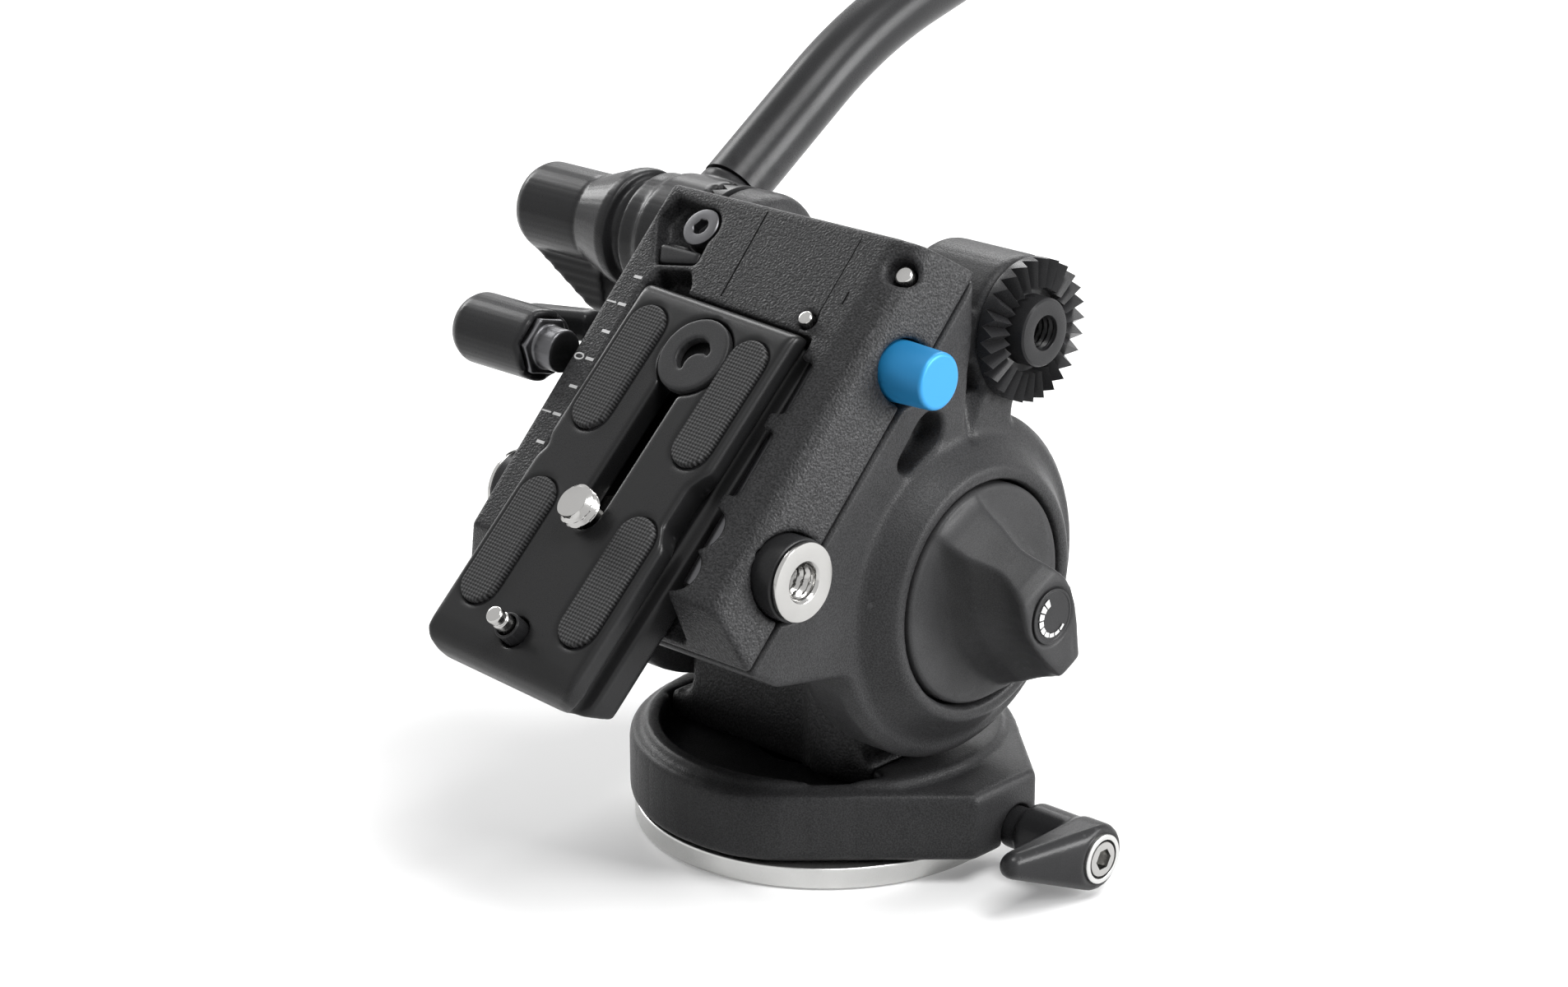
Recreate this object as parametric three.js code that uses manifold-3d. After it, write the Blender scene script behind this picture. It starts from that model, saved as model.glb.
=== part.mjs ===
// Compact video head: flat-based pan housing, tilting platform with a sliding camera plate,
// two rosettes, a curved pan bar and its locks. Millimetres, +Z up.
// The origin is the centre of the flat underside of the base, on the pan axis.
// -Y is the front, where the lens points, and +X is the side of the tilt lock knob.
// The tilting parts are built in platform directions (x, l, n): l runs to the rear along the
// platform and n stands square to it, both measured from the tilt axis.

import * as THREE from 'three';
import { mergeVertices } from 'three/addons/utils/BufferGeometryUtils.js';
import Module from 'manifold-3d';

const wasm = await Module();
wasm.setup();

// Clearances and cuts
const clearance = 0.3;
const overrun = 1;
const weldTolerance = 0.0001;

// Smoothness, as numbers of sides
const largeSides = 40;
const mediumSides = 20;
const smallSides = 12;
const arcSides = 4;
const hiddenSides = 12;
const hexSides = 6;

// Rest pose
const tiltRestDeg = 45.6;
const tiltAxisHeight = 45.5;
const tiltCentreX = -1.2;

// Base plate and its tripod thread
const baseRadius = 30.3;
const baseHeight = 3.5;
const baseChamfer = 0.5;
const baseRecessRadius = 21;
const baseRecessDepth = 0.6;
const bossRadius = 9;
const bossTop = 8.6;
const bushRadius = 6.8;
const tripodThreadRadius = 4.76;
const retainerRadius = 10.5;
const retainerHeight = 1.8;
const bearingInnerRadius = 13;
const bearingOuterRadius = 27;
const bearingHeight = 0.5;

// Pan housing
const housingBottom = 3.8;
const housingRadius = 31;
const housingShoulderHeight = 15.1;
const housingRimHeight = 16.5;
const housingRimInset = 2.4;
const housingEdge = 1.3;
const housingFacetDeg = -45.9;
const housingFacetInset = 1.9;
const housingFacetStartDeg = -80;
const housingLugReach = 5.5;
const housingLugRearY = 9;
const housingFlangeTop = 8.3;
const housingWall = 5;
const pocketFloorHeight = 12.5;
const pocketRightX = 17;
const drumWellRadius = 28.6;

// Stalk that carries the tilt axle
const stalkFrontY = -11;
const stalkRearY = 11.4;
const stalkFootLeftX = -24;
const stalkFootRightX = 20;
const stalkFootTop = 17.2;
const stalkEdge = 1;
const stalkDrumRadius = 17.5;
const stalkBossRadius = 5.2;
const stalkBossX = 11.2;
const stalkBossY = -8.6;
const stalkBossTop = 27.5;
const axleRadius = 5;
const axleLeftX = -27.4;
const axleRightX = 24.4;

// Pan lock lever
const leverAxisY = 5;
const leverAxisZ = 6.4;
const leverHubRadius = 5;
const leverNeckRadius = 3.4;
const leverNeckLength = 2;
const leverHubEndX = 47;
const leverFaceX = 53;
const leverEdge = 0.9;
const leverHeadRadius = 5.4;
const leverTipY = -11;
const leverTipZ = 9.4;
const leverTipRadius = 2.1;
const leverTipX = 50.2;
const leverScrewRadius = 3.4;
const leverRingRadius = 3.9;
const leverRingDepth = 0.7;
const leverScrewDepth = 4;
const leverHexFlat = 3;
const leverHexDepth = 2;

// Tilt housing: two cheeks, the bridge over the stalk and two ears
const drumRadius = 27.3;
const drumOuterX = 28.5;
const drumInnerX = 17;
const drumOuterEdge = 1.5;
const drumInnerEdge = 3;
const flangeOuterRadius = 24;
const flangeRadius = 20.2;
const flangeX = 33;
const flangeLip = 0.4;
const knobWellRadius = 17.7;
const knobWellFloorX = 25.2;
const splitGap = 0.6;
const bridgeFrontL = -33;
const bridgeRearL = 36.3;
const bridgeToeL = -31.4;
const bridgeToeDrop = 7.4;
const bridgeHeelL = -17.5;
const bridgeHeelN = 12.2;
const bridgeEdge = 0.8;
const webHeelL = -23;
const webHeelN = 13;
const earL = 36.4;
const earN = 17.6;
const earRadius = 11;
const earInnerX = 11;
const leftEarInnerX = -22.1;
const earOuterEdge = 1;
const earEdge = 2.2;
const armFootL = 15;
const armFootN = 3;
const armNotchL = 26.4;
const armNotchN = 10;
const valleyDepth = 8;
const valleyTopL = 34.8;
const valleyTopDrop = 1.2;
const valleyToeL = 12;
const valleyToeN = 12.4;
const valleyEarL = 27;
const valleyEarN = 17.2;
const tearHeadL = 13.6;
const tearHeadDrop = 8.7;
const tearHeadRadius = 3;
const tearToeL = 7.3;
const tearToeDrop = 7.6;
const tearToeRadius = 1.7;
const tearDepth = 5;
const capRadius = 12;
const capThickness = 2.6;

// Rosettes
const rosetteTeethCount = 27;
const rosetteBackX = 29.4;
const rosetteTipX = 31.6;
const rosetteRadius = 11;
const rosetteInnerRadius = 6.6;
const rosetteInnerDropShare = 0.55;
const rosettePlugRadius = 7.4;
const rosettePlugDepth = 2.4;
const rosetteBossRadius = 5.35;
const rosetteBossX = 33;
const rosetteBoreRadius = 2.65;
const boltRadius = 2.3;

// Tilt lock knob
const knobDiscRadius = 17.2;
const knobDiscX = 33;
const knobDiscEdge = 0.5;
const knobEndX = 46.2;
const knobWingDeg = 71;
const knobLabelRadius = 4.6;
const knobLabelDepth = 0.5;
const wingHalfLength = 16.6;
const wingHalfWidth = 13.4;
const wingCornerX = 43.4;
const wingCornerU = -12.8;
const wingFaceStartU = -10.4;
const wingFaceEndU = 3.5;
const wingShoulderU = 9.5;
const wingSlopeX = 35.6;
const wingSlopeU = 11.8;
const wingFootX = 36;
const wingFootU = -14.4;
const scoopHalfHeight = 13.6;
const scoopHalfLength = 15;
const scoopHalfWidth = 10.4;
const scoopCentreX = 46.4;
const scoopGap = 9.6;

// Platform
const railTopHeight = 44.2;
const railOuterX = -24.6;
const railLipX = -19.1;
const channelRightX = 16.7;
const channelDepth = 9.6;
const platformDepth = 11.2;
const stripOuterX = 20.7;
const shoulderX = 26.2;
const shoulderDrop = 0.5;
const shoulderRadius = 3;
const flankLeftX = -31.2;
const flankRightX = 28.8;
const deckFrontLeftL = 16.95;
const deckFrontRightL = 15.1;
const deckRearL = 33.2;
const platformNoseL = -28.5;
const platformRearEdge = 0.9;
const platformFootRearL = 36.4;
const scallopRadius = 3.4;
const scallopRowL = [-24.5, -17.5];
const scallopRearL = 29.3;
const scallopRearX = 24.3;
const scallopRearRadius = 2.4;
const scallopRearDepth = 3;
const pivotPinRadius = 1.5;
const pivotPinLength = 5;
const pivotPinDrop = 1.9;
const stripCutDepth = 2.6;
const stripCutRearL = 3.5;
const stripCutFrontL = -10.5;
const stripCutRearLength = 7;
const stripCutFrontLength = 9;
const stripCutHeightDrop = 6.2;
const clampBarX = 18.4;
const clampBarDrop = 3.3;
const clampBarRadius = 1.9;
const clampBarRearL = 12;
const clampBarFrontL = -26;
const recessPoints = [[-19.5, 20.1], [-11.7, 21.6], [-12.4, 28], [-15, 31.2], [-22.8, 31.9], [-24.1, 27.9]];
const recessDepth = 3.6;
const slotPoints = [[-18.4, 15], [-10.2, 15], [-10.2, 17.9], [-12, 20.4], [-18.1, 19.4]];
const slotDepth = 5;

// Fittings on the platform
const insertL = -17.9;
const insertRise = 2.1;
const insertSleeveRadius = 6.3;
const insertSleeveX = 29.9;
const insertInnerX = 22;
const insertFlangeRadius = 5.97;
const insertFlangeX = 30.9;
const insertLeftFaceX = -30;
const insertShankRadius = 4;
const insertBoreRadius = 2.55;
const buttonL = 17.4;
const buttonRise = 2;
const buttonRadius = 4.7;
const buttonFaceRadius = 4.1;
const buttonEdge = 0.5;
const buttonBaseX = 25.2;
const buttonEndX = 34.5;
const buttonTravel = 2.6;
const buttonStemRadius = 2.8;
const buttonStemX = 21.5;
const safetyPinX = 14.2;
const safetyPinL = 17.6;
const safetyPinRadius = 1.2;
const safetyPinRise = 1;
const safetyPinLength = 5;
const safetyPinTravel = 2.4;
const stopScrewX = -14.9;
const stopScrewL = 27.9;
const stopScrewRadius = 3.2;
const stopScrewHead = 3.2;
const stopScrewStemRadius = 1.6;
const stopScrewStem = 4;
const stopScrewHexFlat = 2.5;
const stopScrewHexDepth = 1.8;
const stopBlockThickness = 1;
const stopBlockLip = 2.8;
const stopBlockLipRearL = 24;

// Plate lock knob
const plateKnobL = 2.4;
const plateKnobDrop = 0.8;
const plateKnobRadius = 5.7;
const plateKnobInnerX = -31.5;
const plateKnobOuterX = -48.5;
const plateKnobEdge = 2.4;
const plateShaftRadius = 3.4;
const plateShaftEndX = -27.2;
const plateHexRadius = 4.6;
const plateHexLength = 1.6;
const plateHexSink = 1;
const plateWingThickness = 5;
const plateWingReach = 8.6;
const plateWingInnerX = -33;
const plateWingWebX = -44;
const plateStudRadius = 1.7;
const plateStudDrop = 2.2;

// Camera plate
const plateYawDeg = -3;
const plateX = -1.6;
const plateL = -16.5;
const plateHalfWidth = 16.25;
const plateRise = 3;
const plateDepth = 12.3;
const plateRearL = 32;
const plateNoseL = -32.9;
const plateNoseLowL = -29.7;
const plateNoseFootL = -24.6;
const plateNoseLowRise = 1;
const plateRearRadius = 3;
const plateNoseRadius = 4.6;
const plateBevel = 0.7;
const plateGrooveDepth = 2.4;
const plateGrooveTopDrop = 3.4;
const plateGrooveFloorDrop = 4.8;
const plateGrooveLowDrop = 6.4;
const plateFootChamfer = 1.6;
const plateCornerRadius = 4;
const plateWellHalfWidth = 9.2;
const plateWellRoofDrop = 4;
const plateWellRearL = 25;
const plateWellFrontL = -13.2;
const notchDepth = 2;
const notchRearL = 6.2;
const notchFrontL = -5.4;
const notchFlank = 2.4;
const scoopDepth = 1.2;
const scoopRearL = 7.2;
const scoopFrontL = -3.4;
const slotHalfWidth = 2.35;
const slotFrontL = -8;
const slotRearL = 19;
const padHalfWidth = 3.4;
const padLength = 21.8;
const padOffsetX = 10.9;
const padRearL = 17.2;
const padFrontL = -13.8;
const padRise = 0.6;
const padSink = 0.7;
const plateDiscRadius = 6.2;
const plateDiscX = 1.2;
const plateDiscL = 22.8;
const plateDiscThickness = 1.8;
const plateDiscRise = 0.5;
const crescentRadius = 2.9;
const crescentShift = 1.7;
const crescentBiteRadius = 2.5;
const cameraScrewRadius = 3.17;
const cameraScrewRise = 3.9;
const cameraScrewNeckRadius = 1.9;
const cameraScrewHeadRadius = 6.8;
const cameraScrewHead = 3;
const cameraScrewWasherRadius = 5.6;
const cameraScrewWasher = 1;
const cameraScrewTip = 0.6;
const cameraScrewL = -5.7;
const coinSlotWidth = 1.6;
const coinSlotDepth = 1.4;
const videoPinX = 0.4;
const videoPinL = -26;
const videoPinRadius = 1.4;
const videoPinBaseRadius = 2.1;
const videoPinBaseRise = 2;
const videoPinRise = 5.6;
const videoPinTip = 0.5;
const videoPinDepth = 5;
const videoPinTravel = 4;

// Pan bar
const barHubOuterX = -45;
const barHubEdge = 0.8;
const barHubNeckRadius = 10.3;
const barHubNeckX = -49;
const barTeethDepth = 0.9;
const barTubeRadius = 5.5;
const barTubeWall = 1.1;
const barTubeX = -42.4;
const barTubeStart = 12.4;
const barSpigotLength = 8;
const barTubeStraight = 37;
const barTubeRiseDeg = 34;
const barTubeBendDeg = 18;
const barTubeBendRadius = 90;
const barTubeRear = 225;
const barGripRadius = 13;
const barGripLength = 110;
const barGripEnd = 3;
const barGripEdge = 3;
const barTubeSteps = 12;

// Pan bar clamp knob
const barKnobFlangeX = -52;
const barKnobFlangeRadius = 10.2;
const barKnobRimX = -54;
const barKnobNeckX = -61.6;
const barKnobRadius = 7.6;
const barKnobGroove = 0.5;
const barKnobGrooveWidth = 0.8;
const barKnobEndX = -77.5;
const barKnobEdge = 2.4;
const barCollarRadius = 8.4;
const barCollarStartX = -49.3;
const barFinThickness = 5.6;
const barFinReach = 15.4;
const barFinInnerX = -57;
const barFinShoulderX = -60;
const barFinOuterX = -76.6;
const barFinRootReach = 6.8;
const barFinDeg = -100;
const barFinRibCount = 6;
const barFinRibDepth = 0.5;
const barBoltInnerX = -26;

// Finishes
const blackPaint = { color: 0x17181a, roughness: 0.62, metalness: 0.15 };
const blackCasting = { color: 0x1b1c1e, roughness: 0.8, metalness: 0.1 };
const blackAnodised = { color: 0x101113, roughness: 0.38, metalness: 0.6 };
const blackPlastic = { color: 0x141416, roughness: 0.5, metalness: 0 };
const rubber = { color: 0x0e0e0f, roughness: 0.95, metalness: 0 };
const foam = { color: 0x101010, roughness: 1, metalness: 0 };
const silver = { color: 0xc9cbcc, roughness: 0.35, metalness: 0.9 };
const steel = { color: 0xa9abad, roughness: 0.3, metalness: 1 };
const brass = { color: 0xb49152, roughness: 0.35, metalness: 1 };
const blueAnodised = { color: 0x1b93cf, roughness: 0.3, metalness: 0.8 };

const rad = THREE.MathUtils.degToRad;

// Sizes that follow from others
const housingLugX = housingRadius + housingLugReach;
const housingFacetDistance = housingRadius - housingFacetInset;
const pocketRadius = housingRadius - housingWall;
const splitHeight = railTopHeight - platformDepth;
const channelFloorHeight = railTopHeight - channelDepth;
const stripCutHeight = railTopHeight - stripCutHeightDrop;
const recessFloorHeight = railTopHeight - recessDepth;
const clampBarN = railTopHeight - clampBarDrop;
const insertN = splitHeight + insertRise;
const buttonN = splitHeight + buttonRise;
const plateKnobN = railTopHeight - plateKnobDrop;
const plateTopHeight = railTopHeight + plateRise;
const plateBottomHeight = plateTopHeight - plateDepth;
const plateNoseLowHeight = plateBottomHeight + plateNoseLowRise;
const plateGrooveTopHeight = plateTopHeight - plateGrooveTopDrop;
const plateGrooveFloorHeight = plateTopHeight - plateGrooveFloorDrop;
const plateGrooveLowHeight = plateTopHeight - plateGrooveLowDrop;
const plateWellRoofHeight = plateTopHeight - plateWellRoofDrop;
const bridgeToeN = splitHeight - bridgeToeDrop;
const valleyTopN = splitHeight - valleyTopDrop;
const tearHeadN = splitHeight - tearHeadDrop;
const tearToeN = splitHeight - tearToeDrop;

// Solids

// A closed solid from any closed geometry, with its faces turned outward.
function solid(geometry) {
  const bare = new THREE.BufferGeometry();
  bare.setAttribute('position', geometry.getAttribute('position').clone());
  if (geometry.index) bare.setIndex(geometry.index.clone());
  const merged = mergeVertices(bare, weldTolerance);
  const places = merged.getAttribute('position').array;
  const corners = merged.index.array;
  const kept = [];
  let volume = 0;
  const a = new THREE.Vector3();
  const b = new THREE.Vector3();
  const c = new THREE.Vector3();
  for (let i = 0; i < corners.length; i += 3) {
    const [p, q, r] = [corners[i], corners[i + 1], corners[i + 2]];
    if (p === q || q === r || r === p) continue;
    kept.push(p, q, r);
    a.fromArray(places, p * 3);
    b.fromArray(places, q * 3);
    c.fromArray(places, r * 3);
    volume += a.dot(b.cross(c));
  }
  if (volume < 0) {
    for (let i = 0; i < kept.length; i += 3) {
      [kept[i], kept[i + 1]] = [kept[i + 1], kept[i]];
    }
  }
  return new wasm.Manifold(new wasm.Mesh({
    numProp: 3,
    vertProperties: new Float32Array(places),
    triVerts: new Uint32Array(kept),
  }));
}

function joined(first, ...others) {
  return others.reduce((whole, other) => whole.add(other), first);
}

function without(first, ...cutters) {
  return cutters.reduce((whole, cutter) => whole.subtract(cutter), first);
}

// A solid of revolution about +Z from [radius, height] points that close on themselves.
function turnedZ(points, sides = largeSides) {
  const profile = [...points, points[0]].map(([r, h]) => new THREE.Vector2(r, h));
  return new THREE.LatheGeometry(profile, sides).rotateX(rad(90));
}

// The same about +X, from [radius, x] points.
function turnedX(points, sides = largeSides) {
  const profile = [...points, points[0]].map(([r, x]) => new THREE.Vector2(r, x));
  return new THREE.LatheGeometry(profile, sides).rotateZ(rad(-90));
}

function rodX(radius, fromX, toX, sides = mediumSides) {
  return turnedX([[0, fromX], [radius, fromX], [radius, toX], [0, toX]], sides);
}

function rodZ(radius, fromZ, toZ, sides = mediumSides) {
  return turnedZ([[0, fromZ], [radius, fromZ], [radius, toZ], [0, toZ]], sides);
}

// A rod about +X whose two ends have a small edge.
function edgedRodX(radius, fromX, toX, edge, sides = largeSides) {
  const way = Math.sign(toX - fromX);
  return turnedX([
    [0, fromX], [radius - edge, fromX], [radius, fromX + way * edge],
    [radius, toX - way * edge], [radius - edge, toX], [0, toX],
  ], sides);
}

function outline(points) {
  return new THREE.Shape(points.map(([u, v]) => new THREE.Vector2(u, v)));
}

// A shape pushed through a depth, with an edge of that size round both faces.
function pushed(shape, depth, edge = 0, sides = arcSides) {
  return new THREE.ExtrudeGeometry(shape, {
    depth: depth - 2 * edge,
    curveSegments: sides,
    bevelEnabled: edge > 0,
    bevelThickness: edge,
    bevelSize: edge,
    bevelOffset: -edge,
    bevelSegments: 2,
  }).translate(0, 0, edge);
}

// A prism whose outline lies in (y, z) or (l, n), from one x to another.
function alongX(shape, fromX, toX, edge = 0, sides = arcSides) {
  const turn = new THREE.Matrix4().makeBasis(
    new THREE.Vector3(0, 1, 0), new THREE.Vector3(0, 0, 1), new THREE.Vector3(1, 0, 0));
  return pushed(shape, toX - fromX, edge, sides).applyMatrix4(turn).translate(fromX, 0, 0);
}

// A prism whose outline lies in (x, z) or (x, n), from one y or l to another.
function alongY(shape, fromY, toY, edge = 0, sides = arcSides) {
  return pushed(shape, toY - fromY, edge, sides).rotateX(rad(90)).translate(0, toY, 0);
}

// A prism whose outline lies in (x, y) or (x, l), from one height to another.
function alongZ(shape, fromZ, toZ, edge = 0, sides = arcSides) {
  return pushed(shape, toZ - fromZ, edge, sides).translate(0, 0, fromZ);
}

function blockShape(fromU, toU, fromV, toV) {
  return outline([[fromU, fromV], [toU, fromV], [toU, toV], [fromU, toV]]);
}

// A slot outline with round ends, its long way along v.
function slotShape(halfWidth, fromV, toV, centreU = 0) {
  const shape = new THREE.Shape();
  shape.absarc(centreU, toV - halfWidth, halfWidth, 0, Math.PI, false);
  shape.absarc(centreU, fromV + halfWidth, halfWidth, Math.PI, 2 * Math.PI, false);
  return shape;
}

function discShape(radius, centreU = 0, centreV = 0) {
  const shape = new THREE.Shape();
  shape.absarc(centreU, centreV, radius, 0, 2 * Math.PI, false);
  return shape;
}

function hexShape(acrossFlats) {
  const radius = acrossFlats / Math.sqrt(3);
  return outline(Array.from({ length: hexSides }, (_, i) => [
    radius * Math.cos(2 * Math.PI * i / hexSides), radius * Math.sin(2 * Math.PI * i / hexSides)]));
}

// A convex outline drawn in about its middle, so that every side moves by the gap or more.
function drawnIn(points, gap) {
  const count = points.length;
  const middle = [0, 1].map((axis) => points.reduce((sum, point) => sum + point[axis], 0) / count);
  const reach = Math.min(...points.map(([u, v], i) => {
    const [nextU, nextV] = points[(i + 1) % count];
    return Math.abs((nextU - u) * (v - middle[1]) - (u - middle[0]) * (nextV - v))
      / Math.hypot(nextU - u, nextV - v);
  }));
  return points.map((point) => point.map((value, axis) => (
    value + (middle[axis] - value) * gap / reach)));
}

// The hull outline of round ends, given as [u, v, radius] in turning order.
function roundedHull(ends) {
  const shape = new THREE.Shape();
  ends.forEach((end, i) => {
    const [u, v, radius] = end;
    const before = tangentDeg(ends[(i + ends.length - 1) % ends.length], end);
    const after = tangentDeg(end, ends[(i + 1) % ends.length]);
    shape.absarc(u, v, radius, before, after < before ? after + 2 * Math.PI : after, false);
  });
  return shape;
}

// The direction, in radians, of the outer tangent points between two round ends.
function tangentDeg([u0, v0, radius0], [u1, v1, radius1]) {
  const reach = Math.hypot(u1 - u0, v1 - v0);
  return Math.atan2(v1 - v0, u1 - u0) - Math.acos((radius0 - radius1) / reach);
}

// A solid through rings of equal counts of points, closed by a fan at each end.
function lofted(rings) {
  const count = rings[0].length;
  const places = [];
  const corners = [];
  rings.forEach((ring) => ring.forEach((point) => places.push(...point)));
  for (let ring = 0; ring < rings.length - 1; ring += 1) {
    for (let i = 0; i < count; i += 1) {
      const [p, q] = [ring * count + i, ring * count + (i + 1) % count];
      corners.push(p, q, q + count, p, q + count, p + count);
    }
  }
  [rings[0], rings[rings.length - 1]].forEach((ring, end) => {
    const middle = places.length / 3;
    for (let axis = 0; axis < 3; axis += 1) {
      places.push(ring.reduce((sum, point) => sum + point[axis], 0) / count);
    }
    const first = end ? (rings.length - 1) * count : 0;
    for (let i = 0; i < count; i += 1) {
      const [p, q] = [first + i, first + (i + 1) % count];
      corners.push(...(end ? [middle, p, q] : [middle, q, p]));
    }
  });
  const geometry = new THREE.BufferGeometry();
  geometry.setAttribute('position', new THREE.Float32BufferAttribute(places, 3));
  geometry.setIndex(corners);
  return geometry;
}

// The scene graph

const head = new THREE.Group();
const tilting = new THREE.Group();
tilting.position.z = tiltAxisHeight;
tilting.rotation.x = rad(tiltRestDeg);
head.add(tilting);
const plateGroup = new THREE.Group();
plateGroup.position.set(plateX, plateL, 0);
plateGroup.rotation.z = rad(plateYawDeg);
tilting.add(plateGroup);

function piece(name, body, finish, parent = head) {
  const { vertProperties, triVerts, numProp } = body.getMesh();
  const geometry = new THREE.BufferGeometry();
  const places = new Float32Array(vertProperties.length / numProp * 3);
  for (let i = 0; i < places.length / 3; i += 1) {
    for (let axis = 0; axis < 3; axis += 1) {
      places[i * 3 + axis] = vertProperties[i * numProp + axis];
    }
  }
  geometry.setAttribute('position', new THREE.BufferAttribute(places, 3));
  geometry.setIndex(new THREE.BufferAttribute(new Uint32Array(triVerts), 1));
  geometry.computeVertexNormals();
  const mesh = new THREE.Mesh(geometry, new THREE.MeshStandardMaterial(finish));
  mesh.name = name;
  parent.add(mesh);
}

// Base plate, its thread bush, the retainer above the boss and the bearing ring

const bossBore = bushRadius + clearance;
const retainerTop = bossTop + retainerHeight;

piece('base_ring', solid(turnedZ([
  [bossBore, baseRecessDepth], [baseRecessRadius, baseRecessDepth], [baseRecessRadius, 0],
  [baseRadius - baseChamfer, 0], [baseRadius, baseChamfer], [baseRadius, baseHeight - baseChamfer],
  [baseRadius - baseChamfer, baseHeight], [bossRadius, baseHeight], [bossRadius, bossTop],
  [bossBore, bossTop],
])), silver);

piece('base_thread_bush', solid(turnedZ([
  [tripodThreadRadius, baseRecessDepth], [bushRadius, baseRecessDepth],
  [bushRadius, bossTop], [tripodThreadRadius, bossTop],
], hiddenSides)), steel);

piece('pan_retainer', solid(rodZ(retainerRadius, bossTop, retainerTop, hiddenSides)), steel);

piece('pan_bearing', solid(turnedZ([
  [bearingInnerRadius, baseHeight], [bearingOuterRadius, baseHeight],
  [bearingOuterRadius, baseHeight + bearingHeight], [bearingInnerRadius, baseHeight + bearingHeight],
], mediumSides)), blackPlastic);

// Pan housing

// The housing's outline, drawn in by an inset: a circle, a flat facet at the front right
// that runs to the lug, the lug's face and a straight side back to the circle.
function housingOutline(inset) {
  const radius = housingRadius - inset;
  const facet = rad(housingFacetDeg);
  const facetY = (x) => (housingFacetDistance - inset - x * Math.cos(facet)) / Math.sin(facet);
  const lugX = housingLugX - inset;
  const rearY = housingLugRearY - inset;
  const rearDeg = Math.atan2(rearY, lugX) + Math.acos(radius / Math.hypot(lugX, rearY));
  const start = rad(housingFacetStartDeg) + 2 * Math.PI;
  const shape = new THREE.Shape();
  shape.absarc(0, 0, radius, rearDeg, start, false);
  const along = facet + Math.PI / 2;
  const slope = start + Math.PI / 2;
  const [sx, sy] = [radius * Math.cos(start), radius * Math.sin(start)];
  const [fx, fy] = [0, facetY(0)];
  const reach = ((fx - sx) * Math.sin(along) - (fy - sy) * Math.cos(along))
    / (Math.cos(slope) * Math.sin(along) - Math.sin(slope) * Math.cos(along));
  const [cx, cy] = [sx + reach * Math.cos(slope), sy + reach * Math.sin(slope)];
  shape.quadraticCurveTo(cx, cy, cx + reach * Math.cos(along), cy + reach * Math.sin(along));
  shape.lineTo(lugX, facetY(lugX));
  shape.lineTo(lugX, rearY);
  return shape;
}

function panHousing() {
  const body = joined(
    solid(alongZ(housingOutline(0), housingBottom, housingShoulderHeight, housingEdge, smallSides)),
    solid(alongZ(housingOutline(housingRimInset),
      housingShoulderHeight - housingEdge, housingRimHeight, housingEdge / 2, smallSides))
      .intersect(solid(rodZ(housingRadius - housingRimInset, housingBottom, housingRimHeight,
        largeSides))),
  );
  const pocket = solid(rodZ(pocketRadius, pocketFloorHeight, housingRimHeight + overrun, largeSides))
    .subtract(solid(alongZ(
      blockShape(-housingRadius, pocketRightX + housingRadius, stalkFrontY - clearance, housingRadius),
      housingBottom, housingRimHeight + 2 * overrun)));
  const drumWell = solid(rodX(drumWellRadius, drumInnerX - drumInnerEdge, housingLugX))
    .translate([0, 0, tiltAxisHeight]);
  const leftWell = solid(rodX(drumWellRadius, -housingRadius, mirrored(drumInnerX - drumInnerEdge)))
    .translate([0, 0, tiltAxisHeight]);
  const stalkSeat = solid(alongZ(stalkFootShape(clearance), pocketFloorHeight,
    housingRimHeight + overrun));
  const bearingSeat = solid(turnedZ([
    [bearingInnerRadius - clearance, baseHeight], [bearingOuterRadius + clearance, baseHeight],
    [bearingOuterRadius + clearance, baseHeight + bearingHeight + clearance],
    [bearingInnerRadius - clearance, baseHeight + bearingHeight + clearance],
  ], mediumSides));
  return without(body, pocket, drumWell, leftWell, stalkSeat, bearingSeat,
    solid(rodZ(bossRadius + 2 * clearance, 0, housingRimHeight)),
    solid(rodZ(retainerRadius + clearance, housingFlangeTop, housingRimHeight)),
    solid(rodX(leverNeckRadius + clearance, housingLugX - leverNeckLength, housingLugX + overrun))
      .translate([0, leverAxisY, leverAxisZ]));
}

function mirrored(x) {
  return 2 * tiltCentreX - x;
}

function stalkFootShape(spread) {
  return blockShape(stalkFootLeftX - spread, stalkFootRightX + spread,
    stalkFrontY - spread, stalkRearY + spread);
}

piece('pan_housing', panHousing(), blackPaint);

// Stalk and tilt axle

const stalkLeftX = mirrored(drumInnerX) + clearance;
const stalkRightX = drumInnerX - clearance;

function stalk() {
  const foot = solid(alongZ(stalkFootShape(0), pocketFloorHeight, stalkFootTop, stalkEdge));
  const column = solid(alongZ(blockShape(stalkLeftX, stalkRightX, stalkFrontY, stalkRearY),
    pocketFloorHeight, tiltAxisHeight));
  const boss = solid(rodZ(stalkBossRadius, pocketFloorHeight + stalkEdge, stalkBossTop))
    .translate([stalkBossX, stalkBossY, 0]);
  const drum = solid(rodX(stalkDrumRadius, stalkLeftX, stalkRightX, largeSides))
    .translate([0, 0, tiltAxisHeight]);
  const bore = solid(rodX(axleRadius + clearance, stalkLeftX - overrun, stalkRightX + overrun))
    .translate([0, 0, tiltAxisHeight]);
  return joined(foot, column, boss, drum).subtract(bore);
}

piece('stalk', stalk(), blackCasting);
piece('tilt_axle', solid(rodX(axleRadius, axleLeftX, axleRightX))
  .translate([0, 0, tiltAxisHeight]), steel);

// Pan lock lever with its ring and socket screw

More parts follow.
